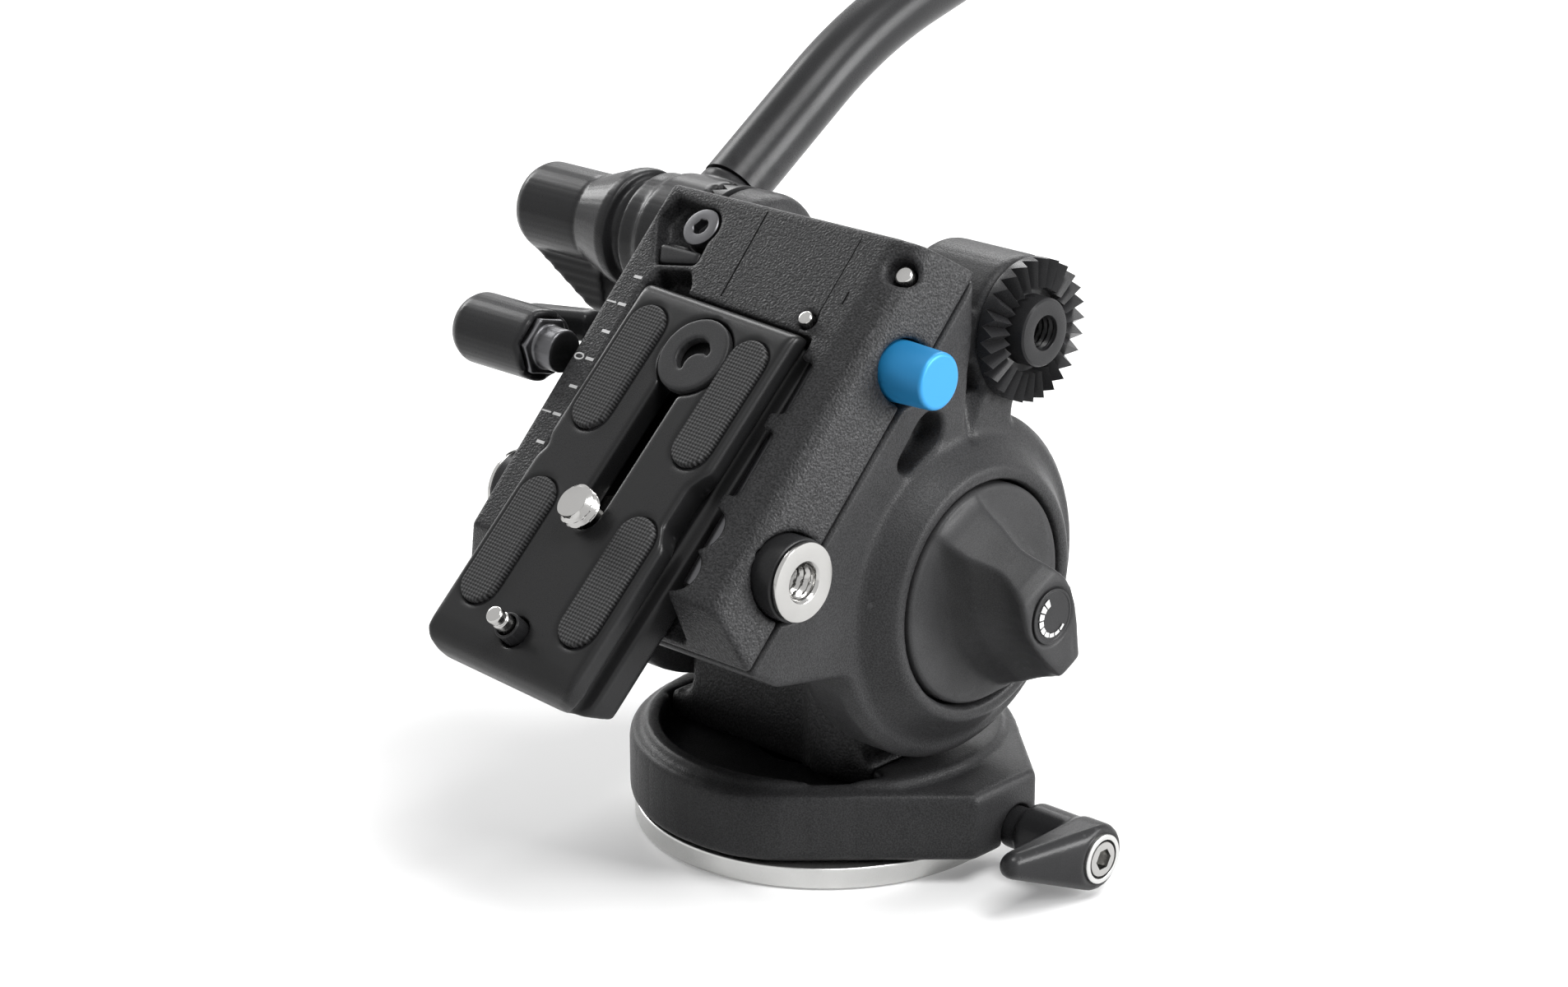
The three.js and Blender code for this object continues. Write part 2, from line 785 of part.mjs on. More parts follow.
function panLockLever() {
  const start = housingLugX + clearance;
  const neck = solid(rodX(leverNeckRadius, housingLugX - leverNeckLength + clearance,
    start + leverNeckLength + overrun));
  const hub = solid(edgedRodX(leverHubRadius, start + leverNeckLength, leverHubEndX + overrun,
    leverEdge, mediumSides));
  const arm = wasm.Manifold.hull([
    solid(edgedRodX(leverHeadRadius, leverHubEndX, leverFaceX, leverEdge, mediumSides)),
    solid(edgedRodX(leverTipRadius, leverHubEndX, leverTipX, leverEdge, smallSides))
      .translate([0, leverTipY - leverAxisY, leverTipZ - leverAxisZ]),
  ]);
  return without(joined(neck, hub, arm),
    solid(rodX(leverRingRadius + clearance, leverFaceX - leverRingDepth, leverFaceX + overrun)),
    solid(rodX(leverScrewRadius / 2 + clearance, leverFaceX - leverScrewDepth - clearance,
      leverFaceX)))
    .translate([0, leverAxisY, leverAxisZ]);
}

piece('pan_lock_lever', panLockLever(), blackPaint);
piece('pan_lock_ring', solid(turnedX([
  [leverScrewRadius - clearance, leverFaceX - leverRingDepth + clearance / 2],
  [leverRingRadius, leverFaceX - leverRingDepth + clearance / 2],
  [leverRingRadius, leverFaceX + clearance],
  [leverScrewRadius - clearance, leverFaceX + clearance],
], mediumSides)).translate([0, leverAxisY, leverAxisZ]), silver);
piece('pan_lock_screw', without(
  joined(
    solid(rodX(leverScrewRadius - 2 * clearance, leverFaceX - leverRingDepth + clearance / 2,
      leverFaceX + clearance)),
    solid(rodX(leverScrewRadius / 2, leverFaceX - leverScrewDepth, leverFaceX, smallSides))),
  solid(alongX(hexShape(leverHexFlat), leverFaceX - leverHexDepth, leverFaceX + overrun)),
).translate([0, leverAxisY, leverAxisZ]), steel);

// Tilt housing

const cutX = earL + earRadius;

// One cheek's drum, with its axle bore; the right one carries the flange and the knob's well.
function rightDrum() {
  return solid(turnedX([
    [axleRadius + clearance, drumInnerX], [drumRadius - drumInnerEdge, drumInnerX],
    [drumRadius - drumInnerEdge / 3, drumInnerX + drumInnerEdge / 3],
    [drumRadius, drumInnerX + drumInnerEdge], [drumRadius, drumOuterX - drumOuterEdge],
    [drumRadius - drumOuterEdge, drumOuterX], [flangeOuterRadius, drumOuterX],
    [flangeRadius, flangeX - flangeLip], [flangeRadius - flangeLip, flangeX],
    [knobWellRadius, flangeX], [knobWellRadius, knobWellFloorX],
    [axleRadius + clearance, knobWellFloorX],
  ]));
}

function leftDrum() {
  const outer = mirrored(drumOuterX);
  const inner = mirrored(drumInnerX);
  return solid(turnedX([
    [axleRadius + clearance, inner], [drumRadius - drumInnerEdge, inner],
    [drumRadius - drumInnerEdge / 3, inner - drumInnerEdge / 3],
    [drumRadius, inner - drumInnerEdge], [drumRadius, outer + drumOuterEdge],
    [drumRadius - drumOuterEdge, outer], [capRadius + clearance, outer],
    [capRadius + clearance, outer + capThickness + clearance],
    [axleRadius + clearance, outer + capThickness + clearance],
  ]));
}

// The bridge between the cheeks: front wall, roof under the platform and rear wall.
function bridge() {
  const top = splitHeight - splitGap;
  const shape = outline([
    [bridgeFrontL, top], [bridgeToeL, bridgeToeN], [bridgeHeelL, bridgeHeelN],
    [stalkDrumRadius, 0], [earL - earRadius, earN], [bridgeRearL, top],
  ]);
  return solid(alongX(shape, mirrored(drumOuterX), drumOuterX));
}

// The web of one side, from the bridge down onto the drum and back to the ear.
function web(fromX, toX) {
  const shape = outline([
    [bridgeToeL, bridgeToeN], [webHeelL, webHeelN], [0, 0], [armFootL, armFootN],
    [armNotchL, armNotchN], [earL, earN], [bridgeRearL - bridgeEdge, splitHeight - 2 * splitGap],
    [bridgeFrontL + bridgeEdge, splitHeight - 2 * splitGap],
  ]);
  return solid(alongX(shape, fromX, toX));
}

function ear(outerX, innerX) {
  const way = Math.sign(outerX - innerX);
  return solid(turnedX([
    [0, innerX], [earRadius - earEdge, innerX], [earRadius - earEdge / 3, innerX + way * earEdge / 3],
    [earRadius, innerX + way * earEdge], [earRadius, outerX - way * earOuterEdge],
    [earRadius - earOuterEdge, outerX], [0, outerX],
  ])).translate([0, earL, earN]);
}

// The valley between the platform's flank and the ear's arm, deepest at its top.
function valley() {
  const face = drumOuterX + overrun;
  const floor = drumOuterX - valleyDepth;
  const rear = bridgeRearL + overrun;
  const outer = [[face, valleyTopL, valleyTopN], [face, valleyToeL, valleyToeN],
    [face, valleyEarL, valleyEarN], [face, rear, valleyEarN], [face, rear, valleyTopN]];
  const inner = [[floor, valleyTopL, valleyTopN - overrun], [floor + valleyDepth / 2,
    valleyToeL + valleyDepth, valleyToeN + valleyDepth],
  [floor, valleyEarL, valleyEarN + overrun], [floor, rear, valleyEarN + overrun],
  [floor, rear, valleyTopN - overrun]];
  return solid(lofted([inner, outer]));
}

// A place on the left insert that answers to one on the right insert.
function leftInsert(x) {
  return insertLeftFaceX + insertFlangeX - x;
}

// Bores through the split line that both castings share.
function sideBores() {
  const cutters = [];
  [[insertInnerX - clearance, cutX], [-cutX, leftInsert(insertInnerX - clearance)]].forEach(
    ([fromX, toX]) => {
      cutters.push(solid(rodX(insertSleeveRadius + clearance, fromX, toX))
        .translate([0, insertL, insertN]));
    });
  const stemEnd = buttonStemX - buttonTravel - clearance;
  cutters.push(solid(rodX(buttonRadius + clearance, buttonBaseX - buttonTravel - clearance, cutX))
    .translate([0, buttonL, buttonN]));
  cutters.push(solid(rodX(buttonStemRadius + clearance, stemEnd, cutX))
    .translate([0, buttonL, buttonN]));
  return cutters;
}

function tiltHousing() {
  const hollow = solid(rodX(stalkDrumRadius + clearance, mirrored(drumInnerX), drumInnerX, largeSides));
  const tear = solid(alongX(
    roundedHull([[tearHeadL, tearHeadN, tearHeadRadius], [tearToeL, tearToeN, tearToeRadius]]),
    drumOuterX - tearDepth, drumOuterX + overrun));
  const knobWell = solid(rodX(knobWellRadius, knobWellFloorX, cutX, largeSides));
  const axleBore = solid(rodX(axleRadius + clearance, -cutX, cutX));
  const capWell = solid(rodX(capRadius + clearance, -cutX,
    mirrored(drumOuterX) + capThickness + clearance));
  const plugs = [
    solid(rodX(rosettePlugRadius + clearance, drumOuterX - rosettePlugDepth - clearance, cutX))
      .translate([0, earL, earN]),
    solid(rodX(rosettePlugRadius + clearance, -cutX,
      mirrored(drumOuterX - rosettePlugDepth - clearance))).translate([0, earL, earN]),
    solid(rodX(rosetteBoreRadius, earInnerX - overrun, cutX, smallSides)).translate([0, earL, earN]),
    solid(rodX(rosetteBoreRadius, -cutX, leftEarInnerX + overrun, smallSides))
      .translate([0, earL, earN]),
  ];
  const body = joined(
    rightDrum(), leftDrum(), bridge(),
    web(drumInnerX, drumOuterX), web(mirrored(drumOuterX), mirrored(drumInnerX)),
  ).subtract(valley());
  const eared = joined(body, ear(drumOuterX, earInnerX),
    ear(mirrored(drumOuterX), leftEarInnerX));
  const abovePlatformSplit = solid(alongZ(blockShape(-cutX, cutX, -cutX, cutX), splitHeight - splitGap,
    splitHeight + cutX));
  return without(eared, hollow, tear, knobWell, axleBore, capWell, abovePlatformSplit, ...plugs,
    ...sideBores());
}

piece('tilt_housing', tiltHousing(), blackCasting, tilting);
piece('axle_cap', solid(edgedRodX(capRadius, mirrored(drumOuterX), mirrored(drumOuterX) + capThickness,
  bridgeEdge)), blackPlastic, tilting);

// Rosettes

// A ring of radial teeth about the ear axis: crests are level, valleys fall towards the rim.
function toothRing(baseX, backX, tipX) {
  const outerDrop = tipX - backX;
  const ring = (radius, xOf, phase) => Array.from({ length: 2 * rosetteTeethCount }, (_, i) => {
    const angle = Math.PI * (i + phase) / rosetteTeethCount;
    return [xOf(i), radius * Math.cos(angle), radius * Math.sin(angle)];
  });
  const crest = (drop) => (i) => (i % 2 ? tipX - drop : tipX);
  return solid(lofted([
    ring(rosetteInnerRadius, () => baseX, 0), ring(rosetteRadius, () => baseX, 0),
    ring(rosetteRadius, crest(outerDrop), 0),
    ring(rosetteInnerRadius, crest(outerDrop * rosetteInnerDropShare), 0),
  ])).translate([0, earL, earN]);
}

function rosette(place, withBoss) {
  const back = place(rosetteBackX);
  const tip = place(rosetteTipX);
  const seat = place(drumOuterX + clearance);
  const plugEnd = place(drumOuterX - rosettePlugDepth);
  const bossEnd = withBoss ? place(rosetteBossX) : tip;
  const plug = solid(rodX(rosettePlugRadius, Math.min(plugEnd, back), Math.max(plugEnd, back)))
    .translate([0, earL, earN]);
  const groove = solid(rodX(rosetteInnerRadius, Math.min(back, bossEnd + tip - back),
    Math.max(back, bossEnd + tip - back))).translate([0, earL, earN]);
  const boss = solid(rodX(rosetteBossRadius, Math.min(back, bossEnd) , Math.max(back, bossEnd)))
    .translate([0, earL, earN]);
  const bore = solid(rodX(rosetteBoreRadius, -cutX, cutX, smallSides)).translate([0, earL, earN]);
  const ring = joined(plug, toothRing(seat, back, tip)).subtract(groove);
  return without(withBoss ? ring.add(boss) : ring, bore);
}

piece('rosette_right', rosette((x) => x, true), blackPaint, tilting);
piece('rosette_left', rosette(mirrored, false), blackPaint, tilting);

// Tilt lock knob: a disc sunk in the cheek's flange with a winged grip

// The grip across the disc, in (x, u, v) with u along it: it slopes down to the disc at one end,
// ends in a cut corner at the other, and has a scoop for a finger in each flank.
function knobWing() {
  const foot = knobDiscX - knobDiscEdge;
  const shape = new THREE.Shape();
  shape.moveTo(foot, -wingHalfLength);
  shape.quadraticCurveTo(wingFootX, wingFootU, wingCornerX, wingCornerU);
  shape.lineTo(knobEndX, wingFaceStartU);
  shape.lineTo(knobEndX, wingFaceEndU);
  shape.bezierCurveTo(knobEndX, wingShoulderU, wingSlopeX, wingSlopeU, foot, wingHalfLength);
  shape.closePath();
  const block = solid(alongZ(shape, -wingHalfWidth, wingHalfWidth, 0, mediumSides / 2));
  const scoops = [-1, 1].map((way) => solid(new THREE.SphereGeometry(1, mediumSides, smallSides))
    .scale([scoopHalfHeight, scoopHalfLength, scoopHalfWidth])
    .translate([scoopCentreX, 0, way * (scoopHalfWidth + scoopGap / 2)]));
  return without(block, ...scoops).rotate([knobWingDeg, 0, 0])
    .intersect(solid(rodX(knobDiscRadius - knobDiscEdge, foot, knobEndX, largeSides)));
}

function tiltLockKnob() {
  const disc = solid(edgedRodX(knobDiscRadius, knobWellFloorX + clearance, knobDiscX, knobDiscEdge));
  return without(joined(disc, knobWing()),
    solid(rodX(knobLabelRadius, knobEndX - knobLabelDepth, knobEndX + overrun)));
}

piece('tilt_lock_knob', tiltLockKnob(), blackPlastic, tilting);
piece('tilt_knob_label', solid(rodX(knobLabelRadius - clearance, knobEndX - knobLabelDepth + clearance / 2,
  knobEndX + clearance / 2)), blackPlastic, tilting);

// Platform

// The section across the platform: left rail, open channel, strip, shoulder and both flanks.
function platformSection() {
  const shape = new THREE.Shape();
  shape.moveTo(flankLeftX, splitHeight);
  shape.lineTo(flankRightX, splitHeight);
  shape.lineTo(shoulderX + shoulderDrop, railTopHeight - shoulderRadius);
  shape.quadraticCurveTo(shoulderX, railTopHeight - shoulderDrop,
    shoulderX - shoulderRadius, railTopHeight - shoulderDrop);
  shape.lineTo(stripOuterX, railTopHeight);
  shape.lineTo(railOuterX, railTopHeight);
  shape.closePath();
  return shape;
}

// The side view: slanted nose, flat top and a rear end that falls steeply to the split.
function platformSide() {
  const shape = new THREE.Shape();
  shape.moveTo(bridgeFrontL, splitHeight);
  shape.lineTo(platformNoseL, railTopHeight);
  shape.lineTo(deckRearL, railTopHeight);
  shape.quadraticCurveTo(deckRearL + platformRearEdge, railTopHeight,
    deckRearL + platformRearEdge, railTopHeight - platformRearEdge);
  shape.lineTo(platformFootRearL, splitHeight);
  shape.closePath();
  return shape;
}

function platform() {
  const far = 2 * flankRightX;
  const body = solid(alongY(platformSection(), bridgeFrontL - overrun, platformFootRearL + overrun))
    .intersect(solid(alongX(platformSide(), -far, far)));
  const channel = solid(alongZ(outline([
    [railLipX, bridgeFrontL - 2 * overrun], [channelRightX, bridgeFrontL - 2 * overrun],
    [channelRightX, deckFrontRightL], [railLipX, deckFrontLeftL],
  ]), channelFloorHeight, railTopHeight + overrun));
  const recess = solid(alongZ(outline(recessPoints), recessFloorHeight, railTopHeight + overrun));
  const slot = solid(alongZ(outline(slotPoints), railTopHeight - slotDepth, railTopHeight + overrun));
  const barBed = solid(alongY(discShape(clampBarRadius + clearance, clampBarX, clampBarN),
    clampBarFrontL - clearance, clampBarRearL + clearance, 0, smallSides));
  const barMouth = solid(alongZ(blockShape(channelRightX - overrun, clampBarX,
    clampBarFrontL - clearance, clampBarRearL + clearance), clampBarN - clampBarRadius,
  clampBarN + clampBarRadius));
  const cuts = [[stripCutRearL, stripCutRearLength], [stripCutFrontL, stripCutFrontLength]].map(
    ([frontL, length]) => solid(alongZ(roundedHull([
      [channelRightX - overrun, frontL, overrun], [channelRightX + stripCutDepth - overrun, frontL, overrun],
      [channelRightX + stripCutDepth - overrun, frontL + length, overrun],
      [channelRightX - overrun, frontL + length, overrun],
    ]), stripCutHeight, railTopHeight + overrun)));
  const scallops = scallopRowL.map((l) => solid(rodZ(scallopRadius, stripCutHeight,
    railTopHeight + overrun)).translate([channelRightX, l, 0]));
  const rearScallop = joined(
    solid(rodZ(scallopRearRadius, railTopHeight - scallopRearDepth, railTopHeight + overrun)),
    solid(rodZ(pivotPinRadius + clearance,
      railTopHeight - pivotPinDrop - pivotPinLength - clearance, railTopHeight, smallSides)),
  ).translate([scallopRearX, scallopRearL, 0]);
  const screwWell = solid(rodZ(stopScrewRadius + clearance, railTopHeight - stopScrewHead - clearance,
    railTopHeight + overrun)).translate([stopScrewX, stopScrewL, 0]);
  const screwBore = solid(rodZ(stopScrewStemRadius + clearance,
    railTopHeight - stopScrewHead - stopScrewStem - clearance, railTopHeight, smallSides))
    .translate([stopScrewX, stopScrewL, 0]);
  const pinBore = solid(rodZ(safetyPinRadius + clearance,
    railTopHeight + safetyPinRise - safetyPinLength - safetyPinTravel - clearance,
    railTopHeight + overrun, smallSides)).translate([safetyPinX, safetyPinL, 0]);
  const studBore = solid(rodX(plateStudRadius + clearance, -far, railLipX + overrun, smallSides))
    .translate([0, plateKnobL, plateKnobN - plateStudDrop]);
  return without(body, channel, recess, slot, barBed, barMouth, ...cuts, ...scallops, rearScallop,
    screwWell, screwBore, pinBore, studBore, ...sideBores());
}

piece('platform', platform(), blackCasting, tilting);
piece('clamp_bar', solid(alongY(discShape(clampBarRadius, clampBarX, clampBarN),
  clampBarFrontL, clampBarRearL, 0, smallSides)), steel, tilting);

piece('clamp_pivot_pin', solid(rodZ(pivotPinRadius, railTopHeight - pivotPinDrop - pivotPinLength,
  railTopHeight - pivotPinDrop, smallSides)).translate([scallopRearX, scallopRearL, 0]), steel, tilting);

// Accessory inserts with their sleeves

function insertSleeve(place) {
  const [fromX, toX] = [place(insertInnerX), place(insertSleeveX)].sort((a, b) => a - b);
  return solid(rodX(insertSleeveRadius, fromX, toX))
    .subtract(solid(rodX(insertShankRadius + clearance, fromX - overrun, toX + overrun)))
    .translate([0, insertL, insertN]);
}

function insert(place) {
  const inner = place(insertInnerX);
  const step = place(insertSleeveX + clearance);
  const face = place(insertFlangeX);
  return solid(turnedX([
    [insertBoreRadius, inner], [insertShankRadius, inner], [insertShankRadius, step],
    [insertFlangeRadius, step], [insertFlangeRadius, face], [insertBoreRadius, face],
  ], mediumSides)).translate([0, insertL, insertN]);
}

[['right', (x) => x], ['left', leftInsert]].forEach(([side, place]) => {
  piece(`insert_sleeve_${side}`, insertSleeve(place), blackAnodised, tilting);
  piece(`insert_${side}`, insert(place), silver, tilting);
});

// Release button, safety pin, stop block and its screw

piece('release_button', joined(
  solid(turnedX([
    [0, buttonBaseX], [buttonRadius, buttonBaseX], [buttonFaceRadius + buttonEdge / 2, buttonEndX - buttonEdge],
    [buttonFaceRadius - buttonEdge / 2, buttonEndX], [0, buttonEndX],
  ])),
  solid(rodX(buttonStemRadius, buttonStemX, buttonBaseX + buttonEdge)),
).translate([0, buttonL, buttonN]), blueAnodised, tilting);

piece('safety_pin', solid(rodZ(safetyPinRadius, railTopHeight + safetyPinRise - safetyPinLength,
  railTopHeight + safetyPinRise, smallSides)).translate([safetyPinX, safetyPinL, 0]), steel, tilting);

piece('stop_screw', without(
  joined(
    solid(rodZ(stopScrewRadius, railTopHeight - stopScrewHead, railTopHeight)),
    solid(rodZ(stopScrewStemRadius, railTopHeight - stopScrewHead - stopScrewStem,
      railTopHeight - overrun, smallSides))),
  solid(alongZ(hexShape(stopScrewHexFlat), railTopHeight - stopScrewHexDepth,
    railTopHeight + overrun)),
).translate([stopScrewX, stopScrewL, 0]), steel, tilting);

function stopBlock() {
  const floor = recessFloorHeight + clearance;
  const shape = outline(drawnIn(recessPoints, clearance));
  const far = 2 * flankRightX;
  const lip = solid(alongZ(shape, floor, floor + stopBlockLip))
    .intersect(solid(alongZ(blockShape(-far, far, 0, stopBlockLipRearL), floor, floor + stopBlockLip)));
  const screwSpace = solid(rodZ(stopScrewRadius + clearance, floor - overrun,
    railTopHeight + overrun)).translate([stopScrewX, stopScrewL, 0]);
  return joined(solid(alongZ(shape, floor, floor + stopBlockThickness)), lip).subtract(screwSpace);
}

piece('stop_block', stopBlock(), blackPaint, tilting);

// Plate lock knob with its shaft and the stud through the rail

function plateLockKnob() {
  const barrel = solid(turnedX([
    [0, plateKnobInnerX], [plateKnobRadius, plateKnobInnerX],
    [plateKnobRadius, plateKnobOuterX + plateKnobEdge],
    [plateKnobRadius - plateKnobEdge / 3, plateKnobOuterX + plateKnobEdge / 3],
    [plateKnobRadius - plateKnobEdge, plateKnobOuterX], [0, plateKnobOuterX],
  ]));
  const half = plateWingThickness / 2;
  const fin = solid(alongY(outline([
    [plateKnobOuterX + plateKnobEdge, 0], [plateKnobOuterX + plateKnobEdge / 2, -plateKnobRadius],
    [plateWingWebX, -plateKnobRadius - plateWingReach / 2],
    [plateWingInnerX, -plateKnobRadius - plateWingReach],
    [plateWingInnerX, -plateKnobRadius - plateWingReach / 2],
    [plateWingWebX, -plateKnobRadius + plateWingReach / 8], [plateWingWebX + plateWingReach, 0],
  ]), -half, half, plateWingThickness / 4)).rotate([tiltRestDeg, 0, 0]);
  const socket = solid(alongX(hexShape(2 * plateHexRadius), plateKnobInnerX - plateHexSink,
    plateKnobInnerX + overrun));
  return barrel.add(fin).subtract(socket).translate([0, plateKnobL, plateKnobN]);
}

function plateLockShaft() {
  const hexEnd = plateKnobInnerX + plateHexLength - plateHexSink;
  const shaft = joined(
    solid(alongX(hexShape(2 * (plateHexRadius - clearance)), plateKnobInnerX - plateHexSink + clearance,
      hexEnd)),
    solid(rodX(plateShaftRadius, hexEnd - overrun / 2, plateShaftEndX)));
  return shaft.translate([0, plateKnobL, plateKnobN]);
}

piece('plate_lock_knob', plateLockKnob(), blackAnodised, tilting);
piece('plate_lock_shaft', plateLockShaft(), steel, tilting);

// Camera plate, built about its own centre line and turned with its group

function plateTopShape() {
  const shape = new THREE.Shape();
  const [w, r] = [plateHalfWidth, plateCornerRadius];
  shape.moveTo(-w, plateNoseL + r);
  shape.quadraticCurveTo(-w, plateNoseL, -w + r, plateNoseL);
  shape.lineTo(w - r, plateNoseL);
  shape.quadraticCurveTo(w, plateNoseL, w, plateNoseL + r);
  shape.lineTo(w, plateRearL);
  shape.lineTo(-w, plateRearL);
  shape.closePath();
  return shape;
}

function plateSection() {
  const w = plateHalfWidth;
  const side = [
    [w - plateFootChamfer, plateBottomHeight], [w, plateBottomHeight + plateFootChamfer],
    [w, plateGrooveLowHeight], [w - plateGrooveDepth, (plateGrooveLowHeight + plateGrooveFloorHeight) / 2],
    [w - plateGrooveDepth, plateGrooveFloorHeight], [w, plateGrooveTopHeight],
    [w, plateTopHeight - plateBevel], [w - plateBevel, plateTopHeight],
  ];
  return outline([...side, ...side.map(([x, n]) => [-x, n]).reverse()]);
}

function plateSide() {
  const shape = new THREE.Shape();
  shape.moveTo(plateNoseFootL, plateBottomHeight);
  shape.lineTo(plateRearL, plateBottomHeight);
  shape.lineTo(plateRearL, plateTopHeight - plateRearRadius);
  shape.quadraticCurveTo(plateRearL, plateTopHeight, plateRearL - plateRearRadius, plateTopHeight);
  shape.lineTo(plateNoseL + plateNoseRadius, plateTopHeight);
  shape.quadraticCurveTo(plateNoseL, plateTopHeight, plateNoseL, plateTopHeight - plateNoseRadius);
  shape.lineTo(plateNoseLowL, plateNoseLowHeight);
  shape.closePath();
  return shape;
}

function padPlaces() {
  const rear = plateTopHeight - padSink;
  return [[-1, padRearL], [1, padRearL], [-1, padFrontL], [1, padFrontL]].map(([way, l]) => ({
    shape: (spread) => slotShape(padHalfWidth + spread, l - padLength / 2 - spread,
      l + padLength / 2 + spread, way * padOffsetX),
    rear,
  }));
}

function cameraPlate() {
  const far = 2 * plateHalfWidth;
  const body = solid(alongY(plateSection(), plateNoseL - overrun, plateRearL + overrun))
    .intersect(solid(alongX(plateSide(), -far, far)))
    .intersect(solid(alongZ(plateTopShape(), plateBottomHeight - overrun, plateTopHeight + overrun)));
  const well = solid(alongZ(blockShape(-plateWellHalfWidth, plateWellHalfWidth, plateWellFrontL,
    plateWellRearL), plateBottomHeight - overrun, plateWellRoofHeight));
  const slot = solid(alongZ(slotShape(slotHalfWidth, slotFrontL, slotRearL),
    plateWellRoofHeight - overrun, plateTopHeight + overrun));
  const pads = padPlaces().map(({ shape, rear }) => solid(alongZ(shape(clearance), rear,
    plateTopHeight + overrun)));
  const notch = solid(alongZ(outline([
    [plateHalfWidth + overrun, notchRearL + notchFlank], [plateHalfWidth - notchDepth, notchRearL - notchFlank],
    [plateHalfWidth - notchDepth, notchFrontL + notchFlank], [plateHalfWidth + overrun, notchFrontL - notchFlank],
  ]), plateGrooveFloorHeight, plateTopHeight + overrun));
  const scoop = solid(alongZ(outline([
    [-plateHalfWidth - overrun, scoopRearL], [-plateHalfWidth - overrun, scoopFrontL],
    [-plateHalfWidth + scoopDepth, (scoopRearL + scoopFrontL) / 2],
  ]), plateGrooveFloorHeight, plateTopHeight + overrun));
  const discSeat = solid(rodZ(plateDiscRadius + clearance,
    plateTopHeight + plateDiscRise - plateDiscThickness - clearance, plateTopHeight + overrun))
    .translate([plateDiscX, plateDiscL, 0]);
  const pinBore = joined(
    solid(rodZ(videoPinRadius + clearance, plateTopHeight - videoPinDepth - videoPinTravel - clearance,
      plateTopHeight, smallSides)),
    solid(rodZ(videoPinBaseRadius + clearance, plateTopHeight - videoPinDepth / 2,
      plateTopHeight + overrun, smallSides))).translate([videoPinX, videoPinL, 0]);
  return without(body, well, slot, ...pads, notch, scoop, discSeat, pinBore);
}

piece('camera_plate', cameraPlate(), blackAnodised, plateGroup);
padPlaces().forEach(({ shape, rear }, i) => {
  piece(`plate_pad_${i + 1}`, solid(alongZ(shape(0), rear + clearance / 2, plateTopHeight + padRise)),
    rubber, plateGroup);
});

piece('plate_disc', without(
  solid(rodZ(plateDiscRadius, plateTopHeight + plateDiscRise - plateDiscThickness,
    plateTopHeight + plateDiscRise)),
  solid(rodZ(crescentRadius, plateBottomHeight, plateTopHeight + overrun, smallSides))
    .subtract(solid(rodZ(crescentBiteRadius, plateBottomHeight - overrun, plateTopHeight + 2 * overrun,
      smallSides)).translate([crescentShift, -crescentShift, 0])),
).translate([plateDiscX, plateDiscL, 0]), blackPlastic, plateGroup);

// Camera screw, its sliding washer and the sprung video pin

const washerTop = plateWellRoofHeight - clearance;
const screwHeadTop = washerTop - cameraScrewWasher - clearance;

piece('screw_washer', solid(turnedZ([
  [cameraScrewNeckRadius + clearance, washerTop - cameraScrewWasher],
  [cameraScrewWasherRadius, washerTop - cameraScrewWasher], [cameraScrewWasherRadius, washerTop],
  [cameraScrewNeckRadius + clearance, washerTop],
], mediumSides)).translate([0, cameraScrewL, 0]), steel, plateGroup);

piece('camera_screw', without(
  solid(turnedZ([
    [0, screwHeadTop - cameraScrewHead], [cameraScrewHeadRadius, screwHeadTop - cameraScrewHead],
    [cameraScrewHeadRadius, screwHeadTop], [cameraScrewNeckRadius, screwHeadTop],
    [cameraScrewNeckRadius, plateTopHeight + clearance],
    [cameraScrewRadius, plateTopHeight + clearance + cameraScrewTip],
    [cameraScrewRadius, plateTopHeight + cameraScrewRise - cameraScrewTip],
    [cameraScrewRadius - cameraScrewTip, plateTopHeight + cameraScrewRise],
    [0, plateTopHeight + cameraScrewRise],
  ], mediumSides)),
  solid(alongZ(blockShape(-2 * cameraScrewHeadRadius, 2 * cameraScrewHeadRadius, -coinSlotWidth / 2,
    coinSlotWidth / 2), screwHeadTop - cameraScrewHead - overrun,
  screwHeadTop - cameraScrewHead + coinSlotDepth)),
).translate([0, cameraScrewL, 0]), steel, plateGroup);

piece('video_pin_base', solid(turnedZ([
  [videoPinRadius + clearance, plateTopHeight - videoPinDepth / 2 + clearance],
  [videoPinBaseRadius, plateTopHeight - videoPinDepth / 2 + clearance],
  [videoPinBaseRadius, plateTopHeight + videoPinBaseRise],
  [videoPinRadius + clearance, plateTopHeight + videoPinBaseRise],
], smallSides)).translate([videoPinX, videoPinL, 0]), blackAnodised, plateGroup);

piece('video_pin', solid(turnedZ([
  [0, plateTopHeight - videoPinDepth], [videoPinRadius, plateTopHeight - videoPinDepth],
  [videoPinRadius, plateTopHeight + videoPinRise - videoPinTip],
  [videoPinRadius - videoPinTip, plateTopHeight + videoPinRise], [0, plateTopHeight + videoPinRise],
], smallSides)).translate([videoPinX, videoPinL, 0]), steel, plateGroup);

// Pan bar: hub, bent tube and grip, built about the ear axis

const barGroup = new THREE.Group();
barGroup.position.set(0, earL, earN);
barGroup.rotation.x = -rad(tiltRestDeg);
tilting.add(barGroup);

const riseStart = rad(barTubeRiseDeg);
const riseEnd = rad(barTubeRiseDeg - barTubeBendDeg);

